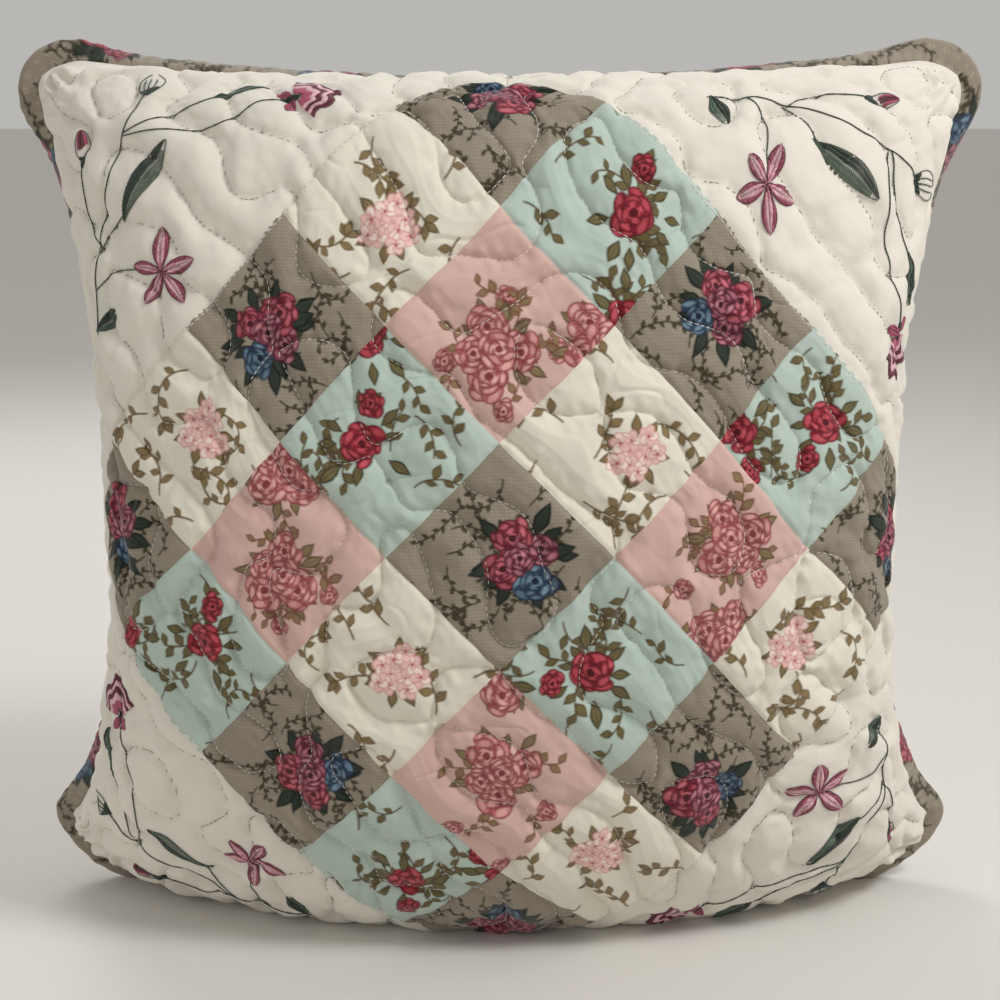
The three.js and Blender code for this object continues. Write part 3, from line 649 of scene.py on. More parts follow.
def print_mint(cloth, random, bouquets):
    """Pale aqua ground with crimson roses on leafy olive stems."""
    bark, dark, light = rgb(88, 72, 44), rgb(66, 60, 36), rgb(112, 102, 64)
    width, length = cloth.x[-1], cloth.y[-1]
    for x in np.arange(5, width, 24.0):
        for y in np.arange(5, length, 24.0):
            jx, jy = x + random.uniform(-7, 7), y + random.uniform(-7, 7)
            paint_twig(cloth, jx, jy, random.uniform(0, 6.28), random.uniform(14, 24), random, bark, light,
                       5.2, 3.8, 0.65)
    for x, y in bouquets:
        for k in range(3):
            paint_twig(cloth, x, y, random.uniform(0, 6.28), 19, random, bark, light, 6.0, 3.4, 0.7)
        paint_bouquet(cloth, x, y, [(0, 0, 17, RED)], dark, light, 9.0, 8, random)
        turn = random.uniform(0, 6.28)
        bx, by = step_from(x, y, turn, 16)
        for lean in (0.6, -0.6):
            paint_leaf(cloth, bx, by, 5.5, turn + lean, dark, light)
        paint_rose(cloth, bx, by, 10.0, *RED, random)


def print_rose(cloth, random, bouquets):
    """Dusty pink ground with sepia-edged rose bouquets and small single roses."""
    bark, dark, light = rgb(122, 80, 60), rgb(98, 78, 54), rgb(146, 126, 92)
    width, length = cloth.x[-1], cloth.y[-1]
    for x in np.arange(8, width, 27.0):
        for y in np.arange(8, length, 27.0):
            jx, jy = x + random.uniform(-7, 7), y + random.uniform(-7, 7)
            turn = random.uniform(0, 6.28)
            paint_twig(cloth, jx, jy, turn, 13, random, bark, light, 4.6, 3.6, 0.6)
            paint_rose(cloth, jx, jy, 8.5, *DUSTY, random)
    for x, y in bouquets:
        for k in range(4):
            turn = k * 1.57 + random.uniform(-0.4, 0.4)
            paint_twig(cloth, x, y, turn, 22, random, bark, light, 5.6, 3.6, 0.6)
        turn = random.uniform(0, 6.28)
        blooms = [(*step_from(0, 0, turn + angle, out), size, DUSTY) for angle, out, size in (
            (0, 10, 17), (1.9, 9, 15), (3.9, 10, 16), (5.2, 9, 13), (2.9, 1, 15))]
        paint_bouquet(cloth, x, y, blooms, dark, light, 8.5, 10, random)


# ---- Camera, light and floor ----

def make_stage():
    scene = bpy.context.scene
    camera_data = bpy.data.cameras.new("camera")
    camera = bpy.data.objects.new("camera", camera_data)
    scene.collection.objects.link(camera)
    scene.camera = camera
    target = Vector((0, -0.03, (CENTRE_HEIGHT + 12) * MM))
    elevation, distance = math.radians(11.5), 0.86
    camera.location = target + Vector((0, -math.cos(elevation), math.sin(elevation))) * distance
    camera.rotation_euler = (target - camera.location).to_track_quat("-Z", "Y").to_euler()
    camera_data.sensor_width = 36
    camera_data.lens = 70
    bpy.ops.mesh.primitive_plane_add(size=60)
    floor = bpy.context.object
    floor.name = "floor"
    material, _, _, shader = new_material("pale_floor")
    set_inputs(shader, Base_Color=(0.72, 0.70, 0.66, 1), Roughness=0.8)
    floor.data.materials.append(material)
    world = bpy.data.worlds.new("studio")
    world.use_nodes = True
    world.node_tree.nodes["Background"].inputs[0].default_value = (0.97, 0.95, 0.92, 1)
    world.node_tree.nodes["Background"].inputs[1].default_value = 0.5
    scene.world = world
    for name, place, size, power in (
            ("key", (0.9, -0.62, 1.3), 0.4, 13), ("fill", (-1.5, -1.15, 0.95), 1.2, 3.0),
            ("rim", (-0.5, 1.2, 1.2), 0.8, 8)):
        data = bpy.data.lights.new(name, "AREA")
        data.size = size
        data.energy = power
        light = bpy.data.objects.new(name, data)
        scene.collection.objects.link(light)
        light.location = place
        light.rotation_euler = (Vector((0, 0, 0.2)) - light.location).to_track_quat("-Z", "Y").to_euler()
    scene.view_settings.view_transform = "Standard"


make_stage()

# ---- Front ground cloth ----
GROUND_CELLS = 300
GROUND_SINK = 1.3

ground_material = cloth_material("ground_cotton", (231, 225, 213), depth=0.3)
print_material = cloth_material("printed_cotton", None, depth=0.3)


def make_ground():
    p, q = panel_grid(GROUND_CELLS)
    u, v = p * HALF, q * HALF
    sunk = GROUND_SINK * smooth_step(0.6, 2.6, block_distance(u, v))
    points = lift(FRONT, p, q, front_relief(u, v) - sunk)[0]
    points[..., 2] = np.maximum(points[..., 2], sunk)
    piece = cloth_sheet("front_ground_cloth", points, u, v)
    return finish_piece(piece, ground_material, stands_for=["front_ground"])


ground = make_ground()

# ---- Patches ----
PATCH_STEP = 0.5
PATCH_PRINTS = [[("linen_print", LINEN_GROUND, print_linen), ("cream_print", CREAM_GROUND, print_cream)],
                [("mint_print", MINT_GROUND, print_mint), ("rose_print", ROSE_GROUND, print_rose)]]


def make_patch(row, column):
    slot, colour, paint = PATCH_PRINTS[row % 2][column % 2]
    random = np.random.default_rng(100 + row * 10 + column)
    cloth = Print(PATCH_SIDE, PATCH_SIDE, PATCH_STEP, colour)
    centre = PATCH_SIDE / 2
    spots = [(centre + random.uniform(-9, 9), centre + random.uniform(-9, 9))]
    if slot in ("mint_print", "rose_print"):
        spots.append((spots[0][0] + random.choice([-31, 31]), spots[0][1] + random.choice([-27, 27])))
    paint(cloth, random, spots)
    middle = (PATCH_ROWS - 1) / 2
    s, t = np.meshgrid(cloth.x, cloth.y, indexing="ij")
    along = s + (column - middle) * PATCH_SIDE - centre
    across = centre - t + (row - middle) * PATCH_SIDE
    u, v = on_point(along, across)
    inside = block_distance(u, v)
    keep = inside > -PATCH_STEP * 0.7
    length = np.maximum(np.hypot(u, v), 1)
    pull = np.where(keep & (inside < 0), inside / length, 0)
    u, v = u * (1 + pull), v * (1 + pull)
    raised = CLOTH * smooth_step(-0.2, 1.4, inside) + 0.25
    points = lift(FRONT, u / HALF, v / HALF, front_relief(u, v) + raised)[0]
    points[..., 2] = np.maximum(points[..., 2], 0)
    faces = grid_faces(len(cloth.x), len(cloth.y), 0)
    faces = faces[keep.ravel()[faces].all(1)]
    used, faces = np.unique(faces, return_inverse=True)
    name = f"patch_{'abcde'[row]}{column + 1}"
    piece = mesh_object(f"{name}_cloth", points.reshape(-1, 3)[used], faces.reshape(-1, 4)[:, ::-1])
    set_layers(piece, np.stack([along, across], -1).reshape(-1, 2)[used], cloth.rgb.reshape(-1, 3)[used])
    return finish_piece(piece, print_material, stands_for=[name])


patches = [make_patch(row, column) for row in range(PATCH_ROWS) for column in range(PATCH_ROWS)]


# ---- Stitches: short strands of thread lying on the cloth ----
THREAD_SIDES, THREAD_TAPER, THREAD_TIP, THREAD_FLOOR = 5, 0.35, 0.25, 0.02
QUILT_GRID = 2.5


def strands(name, starts, ends, ups, radius, arch, rings=4, tint=None):
    """One mesh of many threads. Each runs from its start to its end, bowed up by arch mm."""
    starts, ends, ups = (np.asarray(v, float) for v in (starts, ends, ups))
    count = len(starts)
    radius = np.broadcast_to(radius, count)[:, None, None, None]
    along = ends - starts
    forward = along / np.maximum(np.linalg.norm(along, axis=-1, keepdims=True), 1e-6)
    side = np.cross(forward, ups)
    side /= np.maximum(np.linalg.norm(side, axis=-1, keepdims=True), 1e-6)
    up = np.cross(side, forward)
    t = np.linspace(0, 1, rings)
    rise = np.sin(t * math.pi)
    shape = np.maximum(rise, 0) ** THREAD_TAPER
    shape[[0, -1]] = THREAD_TIP
    sides = THREAD_SIDES
    angle = np.arange(sides)[:, None] * 2 * math.pi / sides
    middle = starts[:, None] + along[:, None] * t[None, :, None]
    middle = middle + up[:, None] * (np.broadcast_to(arch, count)[:, None] * rise)[..., None]
    around = side[:, None, None] * np.cos(angle) + up[:, None, None] * np.sin(angle)
    points = middle[:, :, None] + around * radius * shape[None, :, None, None]
    points[..., 2] = np.maximum(points[..., 2], THREAD_FLOOR)
    ring, k = np.meshgrid(np.arange(rings - 1), np.arange(sides), indexing="ij")
    a = ring * sides + k
    b = ring * sides + (k + 1) % sides
    quads = np.stack([a, b, b + sides, a + sides], -1).reshape(-1, 4)
    block = rings * sides
    shift = np.arange(count) * block
    faces = (quads[None] + shift[:, None, None]).reshape(-1, 4).tolist()
    first = np.arange(sides)[::-1]
    last = np.arange(sides) + block - sides
    faces += (first[None] + shift[:, None]).tolist() + (last[None] + shift[:, None]).tolist()
    piece = mesh_object(name, points, faces)
    if tint is not None:
        set_tint(piece.data, np.repeat(tint, block, axis=0))
    return piece


def quilting_lines():
    """The zero line of the quilting field as lists of points on the flat panel."""
    line = np.arange(-HALF + 4, HALF - 4, QUILT_GRID)
    u, v = np.meshgrid(line, line, indexing="ij")
    wave = quilt_wave(u, v)[0]
    links = {}

    def crossing(i0, j0, i1, j1):
        share = wave[i0, j0] / (wave[i0, j0] - wave[i1, j1])
        return (u[i0, j0] + share * (u[i1, j1] - u[i0, j0]), v[i0, j0] + share * (v[i1, j1] - v[i0, j0]))

    places = {}
    for i, j in np.argwhere((np.sign(wave[:-1, :-1]) != np.sign(wave[1:, :-1]))
                            | (np.sign(wave[:-1, :-1]) != np.sign(wave[:-1, 1:]))
                            | (np.sign(wave[1:, 1:]) != np.sign(wave[1:, :-1]))):
        edges = [(i, j, i + 1, j), (i + 1, j, i + 1, j + 1), (i, j + 1, i + 1, j + 1), (i, j, i, j + 1)]
        crossed = [e for e in edges if wave[e[0], e[1]] * wave[e[2], e[3]] < 0]
        for one, other in zip(crossed[::2], crossed[1::2]):
            for e in (one, other):
                places[e] = crossing(*e)
            links.setdefault(one, []).append(other)
            links.setdefault(other, []).append(one)
    lines = []
    while links:
        ends = [key for key, near in links.items() if len(near) == 1]
        key = ends[0] if ends else next(iter(links))
        walk = [key]
        while links.get(key):
            following = links[key].pop()
            links[following].remove(key)
            if not links[key]:
                del links[key]
            key = following
            walk.append(key)
        links.pop(key, None)
        if len(walk) > 3:
            lines.append(np.array([places[k] for k in walk]))
    return lines


def along_line(points, pitch, length):
    """Stitch ends along a line of points: pairs of places, pitch apart, each length long."""
    points = np.asarray(points, float)
    steps = np.linalg.norm(np.diff(points, axis=0), axis=1)
    reach = np.concatenate([[0], np.cumsum(steps)])
    if reach[-1] < pitch:
        return np.empty((0, 2, points.shape[1]))
    begin = np.arange(0.0, reach[-1] - length, pitch)
    both = np.stack([begin, begin + length], -1)
    return np.stack([np.interp(both, reach, points[:, k]) for k in range(points.shape[1])], -1)


def on_front(places, offset):
    """Lifted points and normals of places (u, v) on the quilted front."""
    u, v = places[..., 0], places[..., 1]
    return lift(FRONT, u / HALF, v / HALF, front_relief(u, v) + offset)


def thread_material(name, colour=None, sheen=0.3, roughness=0.5):
    material, nodes, links, shader = new_material(name)
    set_inputs(shader, Roughness=roughness, Sheen_Weight=sheen)
    place = nodes.new("ShaderNodeTexCoord")
    noise = set_inputs(nodes.new("ShaderNodeTexNoise"), Scale=900)
    links.new(place.outputs["Object"], noise.inputs["Vector"])
    shade = set_inputs(nodes.new("ShaderNodeMapRange"), To_Min=0.82, To_Max=1.14)
    links.new(noise.outputs["Fac"], shade.inputs["Value"])
    mix = nodes.new("ShaderNodeVectorMath")
    mix.operation = "SCALE"
    if colour is None:
        tint = nodes.new("ShaderNodeVertexColor")
        tint.layer_name = "tint"
        links.new(tint.outputs["Color"], mix.inputs[0])
    else:
        mix.inputs[0].default_value = tuple(to_linear(colour))
    links.new(shade.outputs["Result"], mix.inputs["Scale"])
    links.new(mix.outputs[0], shader.inputs["Base Color"])
    return material


white_thread = thread_material("white_thread", (238, 234, 226))
# The quilting thread on the ground cloth is the same white thread as on the patchwork, coloured a darker
# grey-brown here: painted shade standing in for the shadow in its stitched groove.
shade_painted_thread = thread_material("shade_painted_thread", (176, 166, 150), 0.1, 0.8)
floss = thread_material("embroidery_floss", None, 0.2, 0.42)


def stitch_row(name, places, radius, offset, material=white_thread):
    points, normals = on_front(places, offset)
    piece = strands(name, points[:, 0], points[:, 1], normals.mean(1), radius, 0.25)
    finish_piece(piece, material)


def make_quilting():
    places = np.concatenate([along_line(line, 2.6, 2.35) for line in quilting_lines()])
    on_block = block_distance(places[:, 0, 0], places[:, 0, 1]) > 0
    # On the ground the stitches take the darker thread: painted shade along the quilting groove.
    stitch_row("quilting_on_ground", places[~on_block], 0.26, 0.3, material=shade_painted_thread)
    stitch_row("quilting_on_patchwork", places[on_block], 0.2, 0.05 + CLOTH + 0.3)


def block_edge(inside):
    """The block's rounded outline, moved in by inside mm."""
    radius = BLOCK_CORNER - inside
    centre = BLOCK_REACH - BLOCK_CORNER
    turn = np.linspace(0, 2 * math.pi, 1441)
    s = centre * np.sign(np.cos(turn)) * (abs(np.cos(turn)) > 1e-9) + radius * np.cos(turn)
    t = centre * np.sign(np.sin(turn)) * (abs(np.sin(turn)) > 1e-9) + radius * np.sin(turn)
    return np.stack(on_point(s, t), -1)


def make_topstitch():
    places = along_line(block_edge(1.6), 2.7, 2.1)
    stitch_row("block_topstitch", places, 0.19, CLOTH + 0.35)


make_quilting()
make_topstitch()

# ---- Embroidery: four sprays, each the last one turned a quarter clockwise ----
SPRAY_STEMS = [
    [(-180, 86), (-182, 112), (-171, 140), (-158, 168), (-152, 192)],
    [(-182, 106), (-166, 113), (-150, 112)],
    [(-177, 124), (-187, 138), (-186, 158)],
    [(-178, 122), (-170, 130), (-159, 135)],
    [(-159, 166), (-142, 172), (-123, 184)],
    [(-159, 165), (-125, 165), (-90, 180)],
]
SPRAY_LEAVES = [(-173, 92, 18, 8, 28), (-150, 146, 34, 9, 52), (-112, 192, 28, 9, 35)]
SPRAY_BUDS = [(-187, 165, 19, 10, 100, True), (-152, 200, 24, 12, 95, False)]
SPRAY_FLOWER, SPRAY_CARNATION = (-141, 111), (-86, 181)
GREEN_DARK, GREEN_MID = rgb(34, 54, 42), rgb(70, 94, 74)
PETAL_DARK, PETAL_MID, PETAL_PALE = rgb(100, 26, 50), rgb(176, 82, 108), rgb(228, 184, 190)


class Floss:
    """Gathers single threads of one spray."""

    def __init__(self, turns):
        self.turns = turns
        self.starts, self.ends, self.colours, self.heights, self.radii = [], [], [], [], []

    def thread(self, one, other, colour, height, radius):
        for _ in range(self.turns):
            one, other = (one[1], -one[0]), (other[1], -other[0])
        self.starts.append(one)
        self.ends.append(other)
        self.colours.append(colour)
        self.heights.append(height)
        self.radii.append(radius)

    def stem(self, points, colour):
        """Stem stitch: slanting stitches that overlap along the line."""
        line = curve_through(points)
        line = np.concatenate([line, line[-1:] + (line[-1:] - line[-2:-1]) * 3])
        for (ax, ay), (bx, by) in along_line(line, 1.4, 3.4):
            length = max(math.hypot(bx - ax, by - ay), 1e-6)
            nx, ny = -(by - ay) / length * 0.17, (bx - ax) / length * 0.17
            self.thread((ax - nx, ay - ny), (bx + nx, by + ny), colour, 0.35, 0.24)

    def outline(self, x, y, long, wide, degrees, colour, start=-1.0):
        """Back stitch round a pointed oval, from start to its tip, as -1..1 along it."""
        for side in (-1, 1):
            edge = [oval_place(x, y, long, wide, degrees, s, side) for s in np.linspace(start, 1, 19)]
            for one, other in along_line(edge, 1.5, 2.2):
                self.thread(tuple(one), tuple(other), colour, 0.4, 0.22)

    def satin(self, x, y, long, wide, degrees, shade, sides=(-1, 1), span=(-1, 1), pitch=0.44, slant=0.35):
        """A pointed oval filled with threads from its middle line out. shade(s, out) gives colours."""
        for s in np.arange(span[0] + 0.04, span[1] - 0.02, 2 * pitch / long):
            for side in sides:
                rib = oval_place(x, y, long, wide, degrees, s - slant * (1 - s * s) * wide / long, 0)
                rim = oval_place(x, y, long, wide, degrees, s, side)
                half_way = tuple(np.array(rib) * 0.42 + np.array(rim) * 0.58)
                near = tuple(np.array(rib) * 0.58 + np.array(rim) * 0.42)
                self.thread(rib, half_way, shade(s, 0), 0.5, 0.25)
                self.thread(near, rim, shade(s, 1), 0.5, 0.25)


def oval_place(x, y, long, wide, degrees, s, side):
    """A place on a pointed oval: s is -1..1 along it, side -1 or 1 on its rim and 0 on its middle."""
    turn = math.radians(degrees)
    along, out = s * long / 2, side * wide / 2 * (1 - s * s) * (1 + 0.22 * s)
    cos, sin = math.cos(turn), math.sin(turn)
    return x + cos * along - sin * out, y + sin * along + cos * out


def curve_through(points, per=14):
    """A smooth line through a few points."""
    points = np.asarray(points, float)
    ends = np.concatenate([2 * points[:1] - points[1:2], points, 2 * points[-1:] - points[-2:-1]])
    t = np.linspace(0, 1, per, endpoint=False)
    w = cubic_weights(t)[0]
    runs = [w @ ends[k:k + 4] for k in range(len(points) - 1)]
    return np.concatenate(runs + [points[-1:]])


def flower_of_five(spray, x, y, spin, random):
    """Five pointed petals, pale within and dark at the rim."""
    for k in range(5):
        turn = spin + k * 72 + random.uniform(-7, 7)
        a = math.radians(turn)
        long = 15.5 * random.uniform(0.85, 1.15)

        def shade(s, out):
            pale = np.clip((0.85 if out == 0 else 0.2) + 0.25 * s + random.uniform(-0.25, 0.25), 0, 1)
            redder = PETAL_DARK + (PETAL_MID - PETAL_DARK) * min(pale * 2, 1)
            return redder + (PETAL_PALE - PETAL_MID) * max(pale * 2 - 1, 0)

        cx, cy = step_from(x, y, a, long * 0.53)
        spray.satin(cx, cy, long, 6.6, turn, shade, slant=1.2)
        spray.outline(cx, cy, long, 6.6, turn, PETAL_DARK)
    for k in range(6):
        a = math.radians(spin + 36 + k * 60)
        spray.thread((x, y), step_from(x, y, a, 3.4), PETAL_DARK, 0.9, 0.28)


def carnation(spray, x, y, spin, random):
    """A frilled fan in bands of pink and burgundy over a small green cup."""
    bands = [(2.5, 8.0, PETAL_MID), (6.5, 10.5, PETAL_PALE), (9.5, 13.5, PETAL_DARK),
             (12.5, 16.0, PETAL_PALE), (15.2, 18.6, PETAL_DARK)]
    for inner, outer, colour in bands:
        reach = 84 - inner * 0.6
        for degrees in np.arange(-reach, reach, 26 / outer):
            frill = 1 + 0.09 * math.cos(math.radians(degrees * 9)) + random.uniform(-0.02, 0.02)
            squeeze = 1 - 0.22 * (degrees / 90) ** 2
            a = math.radians(spin + degrees)
            one, other = inner * frill * squeeze, outer * frill * squeeze
            tone = colour * random.uniform(0.8, 1.15)
            spray.thread(step_from(x, y, a, one), step_from(x, y, a, other), tone, 0.5, 0.27)
    for lean in (-128, 128):
        a = math.radians(spin + lean)
        spray.satin(*step_from(x, y, a, 6), 9.5, 5, spin + lean,
                    lambda s, out: PETAL_MID * random.uniform(0.7, 1.2))
    spray.satin(*step_from(x, y, math.radians(spin), -2), 9.0, 5.0, spin, lambda s, out: GREEN_DARK)


def leaf(spray, x, y, long, wide, degrees, random):
    """One half filled dark, the other paler and open at its tip."""
    dark = lambda s, out: GREEN_DARK * random.uniform(0.75, 1.2)
    paler = lambda s, out: GREEN_MID * random.uniform(0.9, 1.2)
    spray.satin(x, y, long, wide, degrees, dark, sides=(1,))
    spray.satin(x, y, long, wide, degrees, paler, sides=(-1,), span=(-1, 0.8), pitch=0.6)
    spray.outline(x, y, long, wide, degrees, GREEN_DARK)


def bud(spray, x, y, long, wide, degrees, red, random):
    """A green-rimmed bud: closed with red petals, or open and pale with green veins."""
    green = lambda s, out: GREEN_DARK * random.uniform(0.8, 1.2)
    petal = lambda s, out: (PETAL_MID if out else PETAL_DARK) * random.uniform(0.8, 1.2)
    if red:
        spray.satin(x, y, long, wide * 0.8, degrees, petal, span=(0.0, 0.96))
    else:
        for lean in (-0.45, 0, 0.45):
            veins = [oval_place(x, y, long, wide, degrees, s, lean) for s in (-0.5, 0.0, 0.45)]
            spray.stem(veins, GREEN_MID)
    spray.satin(x, y, long, wide, degrees, green, span=(-0.98, -0.3))
    spray.outline(x, y, long, wide, degrees, GREEN_DARK)


def make_spray(name, turns):
    random = np.random.default_rng(40 + turns)
    spray = Floss(turns)
    for stem in SPRAY_STEMS:
        spray.stem(stem, GREEN_DARK)
    for x, y, long, wide, degrees in SPRAY_LEAVES:
        leaf(spray, x, y, long, wide, degrees, random)
    for x, y, long, wide, degrees, red in SPRAY_BUDS:
        bud(spray, x, y, long, wide, degrees, red, random)
    flower_of_five(spray, *SPRAY_FLOWER, 90 - turns * 17, random)
    carnation(spray, *SPRAY_CARNATION, 20, random)
    places = np.stack([np.array(spray.starts), np.array(spray.ends)], 1)
    points, normals = on_front(places, 0.12)
    keep = points[..., 2].min(1) > 1.2
    points, normals = points[keep], normals[keep].mean(1)
    piece = strands(f"embroidery_{name}_threads", points[:, 0], points[:, 1], normals,
                    np.array(spray.radii)[keep], np.array(spray.heights)[keep], rings=5,
                    tint=np.array(spray.colours)[keep])
    finish_piece(piece, floss, stands_for=[f"embroidery_{name}"])


for turns, name in enumerate(("upper_left", "upper_right", "lower_right", "lower_left")):
    make_spray(name, turns)


# ---- Bound edge: a padded strip folded over the seam, printed like the linen patches ----
BINDING_STEP = 0.8
BINDING_TURN, TOP_TURN = math.radians(64), math.radians(80)
BINDING_TUCK, BOUQUET_PITCH = 6.0, 96
SIDES = ("top", "right", "bottom", "left")


def smooth_round(values, width):
    """Evens out a closed row of values; width is in steps."""
    reach = int(width * 3)
    weights = np.exp(-0.5 * (np.arange(-reach, reach + 1) / width) ** 2)
    weights /= weights.sum()
    looped = np.concatenate([values[-reach:], values, values[:reach]])
    return np.stack([np.convolve(looped[:, k], weights, "valid") for k in range(values.shape[1])], -1)


def seam_loop():
    """Even steps round the whole seam: middle, outward and across directions, and the corners' places."""
    t = np.linspace(-1, 1, 1200, endpoint=False)
    p = np.concatenate([t, 0 * t + 1, -t, 0 * t - 1])
    q = np.concatenate([0 * t + 1, -t, 0 * t - 1, t])
    front, back = form_point(FRONT, p, q), form_point(BACK, p, q)
    both = np.concatenate([(front + back) / 2, back - front, np.minimum(abs(p), abs(q))[:, None]], -1)
    closed = np.concatenate([both, both[:1]])
    length = np.concatenate([[0], np.cumsum(np.linalg.norm(np.diff(closed[:, :3], axis=0), axis=1))])
    steps = int(length[-1] / BINDING_STEP)
    reach = np.arange(steps) * length[-1] / steps
    even = np.stack([np.interp(reach, length, closed[:, k]) for k in range(7)], -1)
    corners = [int(round(length[k * 1200] / length[-1] * steps)) for k in range(5)]
    middle = smooth_round(even[:, :3], 5)
    across = even[:, 3:6] / np.linalg.norm(even[:, 3:6], axis=1, keepdims=True)
    forward = np.roll(middle, -3, 0) - np.roll(middle, 3, 0)
    out = np.cross(forward, across)
    out = smooth_round(out / np.linalg.norm(out, axis=1, keepdims=True), 9)
    out /= np.linalg.norm(out, axis=1, keepdims=True)
    lean = smooth_round((1 - smooth_step(0.78, 0.97, even[:, 6:])) * BINDING_TURN, 8)
    lean[:corners[1]] *= TOP_TURN / BINDING_TURN
    lean[corners[2]:corners[3]] *= 0
    lean = smooth_round(lean, 12)
    return middle, out, across, lean, corners


SEAM = seam_loop()


def turned_strip(lean, outward):
    """How far out and how far across the points of a strip that turns back lie, and their turn."""
    t = np.linspace(-BINDING_TUCK - 1, BINDING_WIDTH + BINDING_THICK, 121)
    step = t[1] - t[0]
    turn = lean * smooth_step(-3, 3, t)
    root = np.searchsorted(t, 0)
    walked = [np.cumsum(part(turn), 1) * step for part in (np.cos, np.sin)]
    place = (outward - t[0]) / step
    index, share = place.astype(int), place % 1
    walked = [w - w[:, root:root + 1] for w in walked]
    out, across = (w[:, index] * (1 - share) + w[:, index + 1] * share for w in walked)
    return out[..., None], across[..., None], (lean * smooth_step(-3, 3, outward))[..., None]


def make_binding(side, number):
    random = np.random.default_rng(70 + number)
    middle, out, across, lean, corners = SEAM
    picked = np.arange(corners[number], corners[number + 1] + 1) % len(middle)
    middle, out, across, lean = (values[picked] for values in (middle, out, across, lean))
    reach = np.arange(len(picked)) * BINDING_STEP
    ring = 44
    s = np.linspace(-1, 1, ring + 1)
    straight, thick = BINDING_WIDTH - BINDING_THICK / 2 + BINDING_GAP, BINDING_THICK / 2
    bend = thick * math.pi / 2
    edge = straight + BINDING_TUCK + bend
    bent = np.clip(1 - edge * abs(s) / bend, 0, 1) * math.pi / 2
    outward = np.where(bent > 0, straight + thick * np.sin(bent), straight - (edge * abs(s) - bend))
    sideways = np.sign(s) * thick * np.cos(bent)
    run, place = np.meshgrid(reach, s, indexing="ij")
    puff = (0.4 * wander(run, place * 9, 34.0, 80 + number)
            + 0.3 * wander(run + 7 * abs(place), place * 4, 7.0, 90 + number))
    ends = smooth_step(0, 9, np.minimum(run, reach[-1] - run))
    ridge = 0.5 * np.exp(-((outward - 1.4) / 0.9) ** 2)
    bump = (puff * smooth_step(-1.6, 2.5, outward) * ends - ridge)[..., None]
    thinner = (0.92 + 0.06 * wander(run, run * 0, 50.0, 60 + number) * ends)[..., None]
    far, aside, turn = turned_strip(lean, outward)
    out, across = out[:, None], across[:, None]
    along, beside = out * np.cos(turn) + across * np.sin(turn), across * np.cos(turn) - out * np.sin(turn)
    points = (middle[:, None] + out * far + across * aside + along * np.sin(bent)[:, None] * bump
              + beside * (sideways[:, None] * thinner + (np.sign(s) * np.cos(bent))[:, None] * bump))
    points[..., 2] = np.maximum(points[..., 2], 0.05)
    cloth = Print(reach[-1], edge * 2 + 1, BINDING_STEP, LINEN_GROUND)
    places = np.arange(random.uniform(20, 60), reach[-1], BOUQUET_PITCH)
    spots = [(x, edge + random.uniform(-6, 6)) for x in places]
    print_linen(cloth, random, spots)
    across_print = np.clip(np.round((s + 1) * edge / BINDING_STEP).astype(int), 0, cloth.rgb.shape[1] - 1)
    tint = cloth.rgb[np.minimum(np.arange(len(reach)), cloth.rgb.shape[0] - 1)][:, across_print]
    piece = cloth_sheet(f"binding_{side}_cloth", points, run, place * edge, True, tint.reshape(-1, 3))
    finish_piece(piece, print_material, stands_for=[f"binding_{side}"])


for number, side in enumerate(SIDES):
    make_binding(side, number)

# ---- Back: two plain panels that meet in a short seam at each end of the zip ----
BACK_COLUMNS = 220
ZIP_REACH = ZIP_RADIUS * math.sin(ZIP_HALF_ANGLE) + 0.3
HEM_REACH = np.array([7.0, 4.5, 2.2, 0.8, 0.1, -0.25])
HEM_DEPTH = np.array([-1.5, -1.5, -1.45, -1.3, -0.8, -0.25])
HEM = len(HEM_REACH)
PLACKET_STITCH = 5.0


def placket_row(p, side):
    """Where, as -1..1 up the panel, the edge beside the zip lies; side is 1 above, -1 below."""
    rows = np.linspace(-0.9, 0.5, 1401)
    level = form_point(BACK, 0 * rows, rows)[:, 2]
    middle = np.interp(ZIP_HEIGHT, level, rows)
    x = abs(form_point(BACK, p, 0 * p + middle)[:, 0])
    half_open = 0.2 + (PLACKET_HALF - 0.2) * (1 - smooth_step(ZIP_REACH - 1.0, ZIP_REACH + 1.2, x))
    return np.interp(ZIP_HEIGHT + side * half_open, level, rows)


def back_relief(u, v):
    rim = smooth_step(0, 20, HALF - np.maximum(abs(u), abs(v)))
    broad = wander(u, v, 110.0, 31) * 1.6
    folds = wander(u * 1.3 + v * 0.4, v * 0.6 - u * 0.3, 46.0, 32)
    drag = np.exp(-(folds / 0.35) ** 2) * smooth_step(-0.4, 0.8, wander(u, v, 80.0, 33))
    return (broad - 1.3 * drag + wander(u, v, 17.0, 34) * 0.15) * rim


def make_back_panel(name, side, rows):
    even = np.linspace(-1, 1, BACK_COLUMNS + 1)
    line = np.sign(even) * abs(even) ** 0.92
    edge = placket_row(line, side)
    away = np.linspace(0, 1, rows + 1) ** 1.12
    p = np.repeat(line[:, None], rows + 1 + HEM, 1)
    q_main = edge[:, None] + (side - edge)[:, None] * away
    q_hem = edge[:, None] + side * HEM_REACH[None, :] * (1 / HALF)
    q = np.concatenate([q_hem, q_main], 1)
    u, v = p * HALF, q * HALF
    from_edge = side * (v - edge[:, None] * HALF)
    stitched = -0.5 * np.exp(-((from_edge - PLACKET_STITCH) / 0.9) ** 2)
    stitched += 0.25 * np.exp(-((from_edge - 2.4) / 2.0) ** 2)
    calm = smooth_step(2, 40, from_edge)
    offset = back_relief(u, v) * calm + stitched
    offset[:, :HEM] = HEM_DEPTH[None, :] + 0.1
    points = lift(BACK, p, q, offset)[0]
    return cloth_sheet(name, points, u, v, side > 0), line, edge


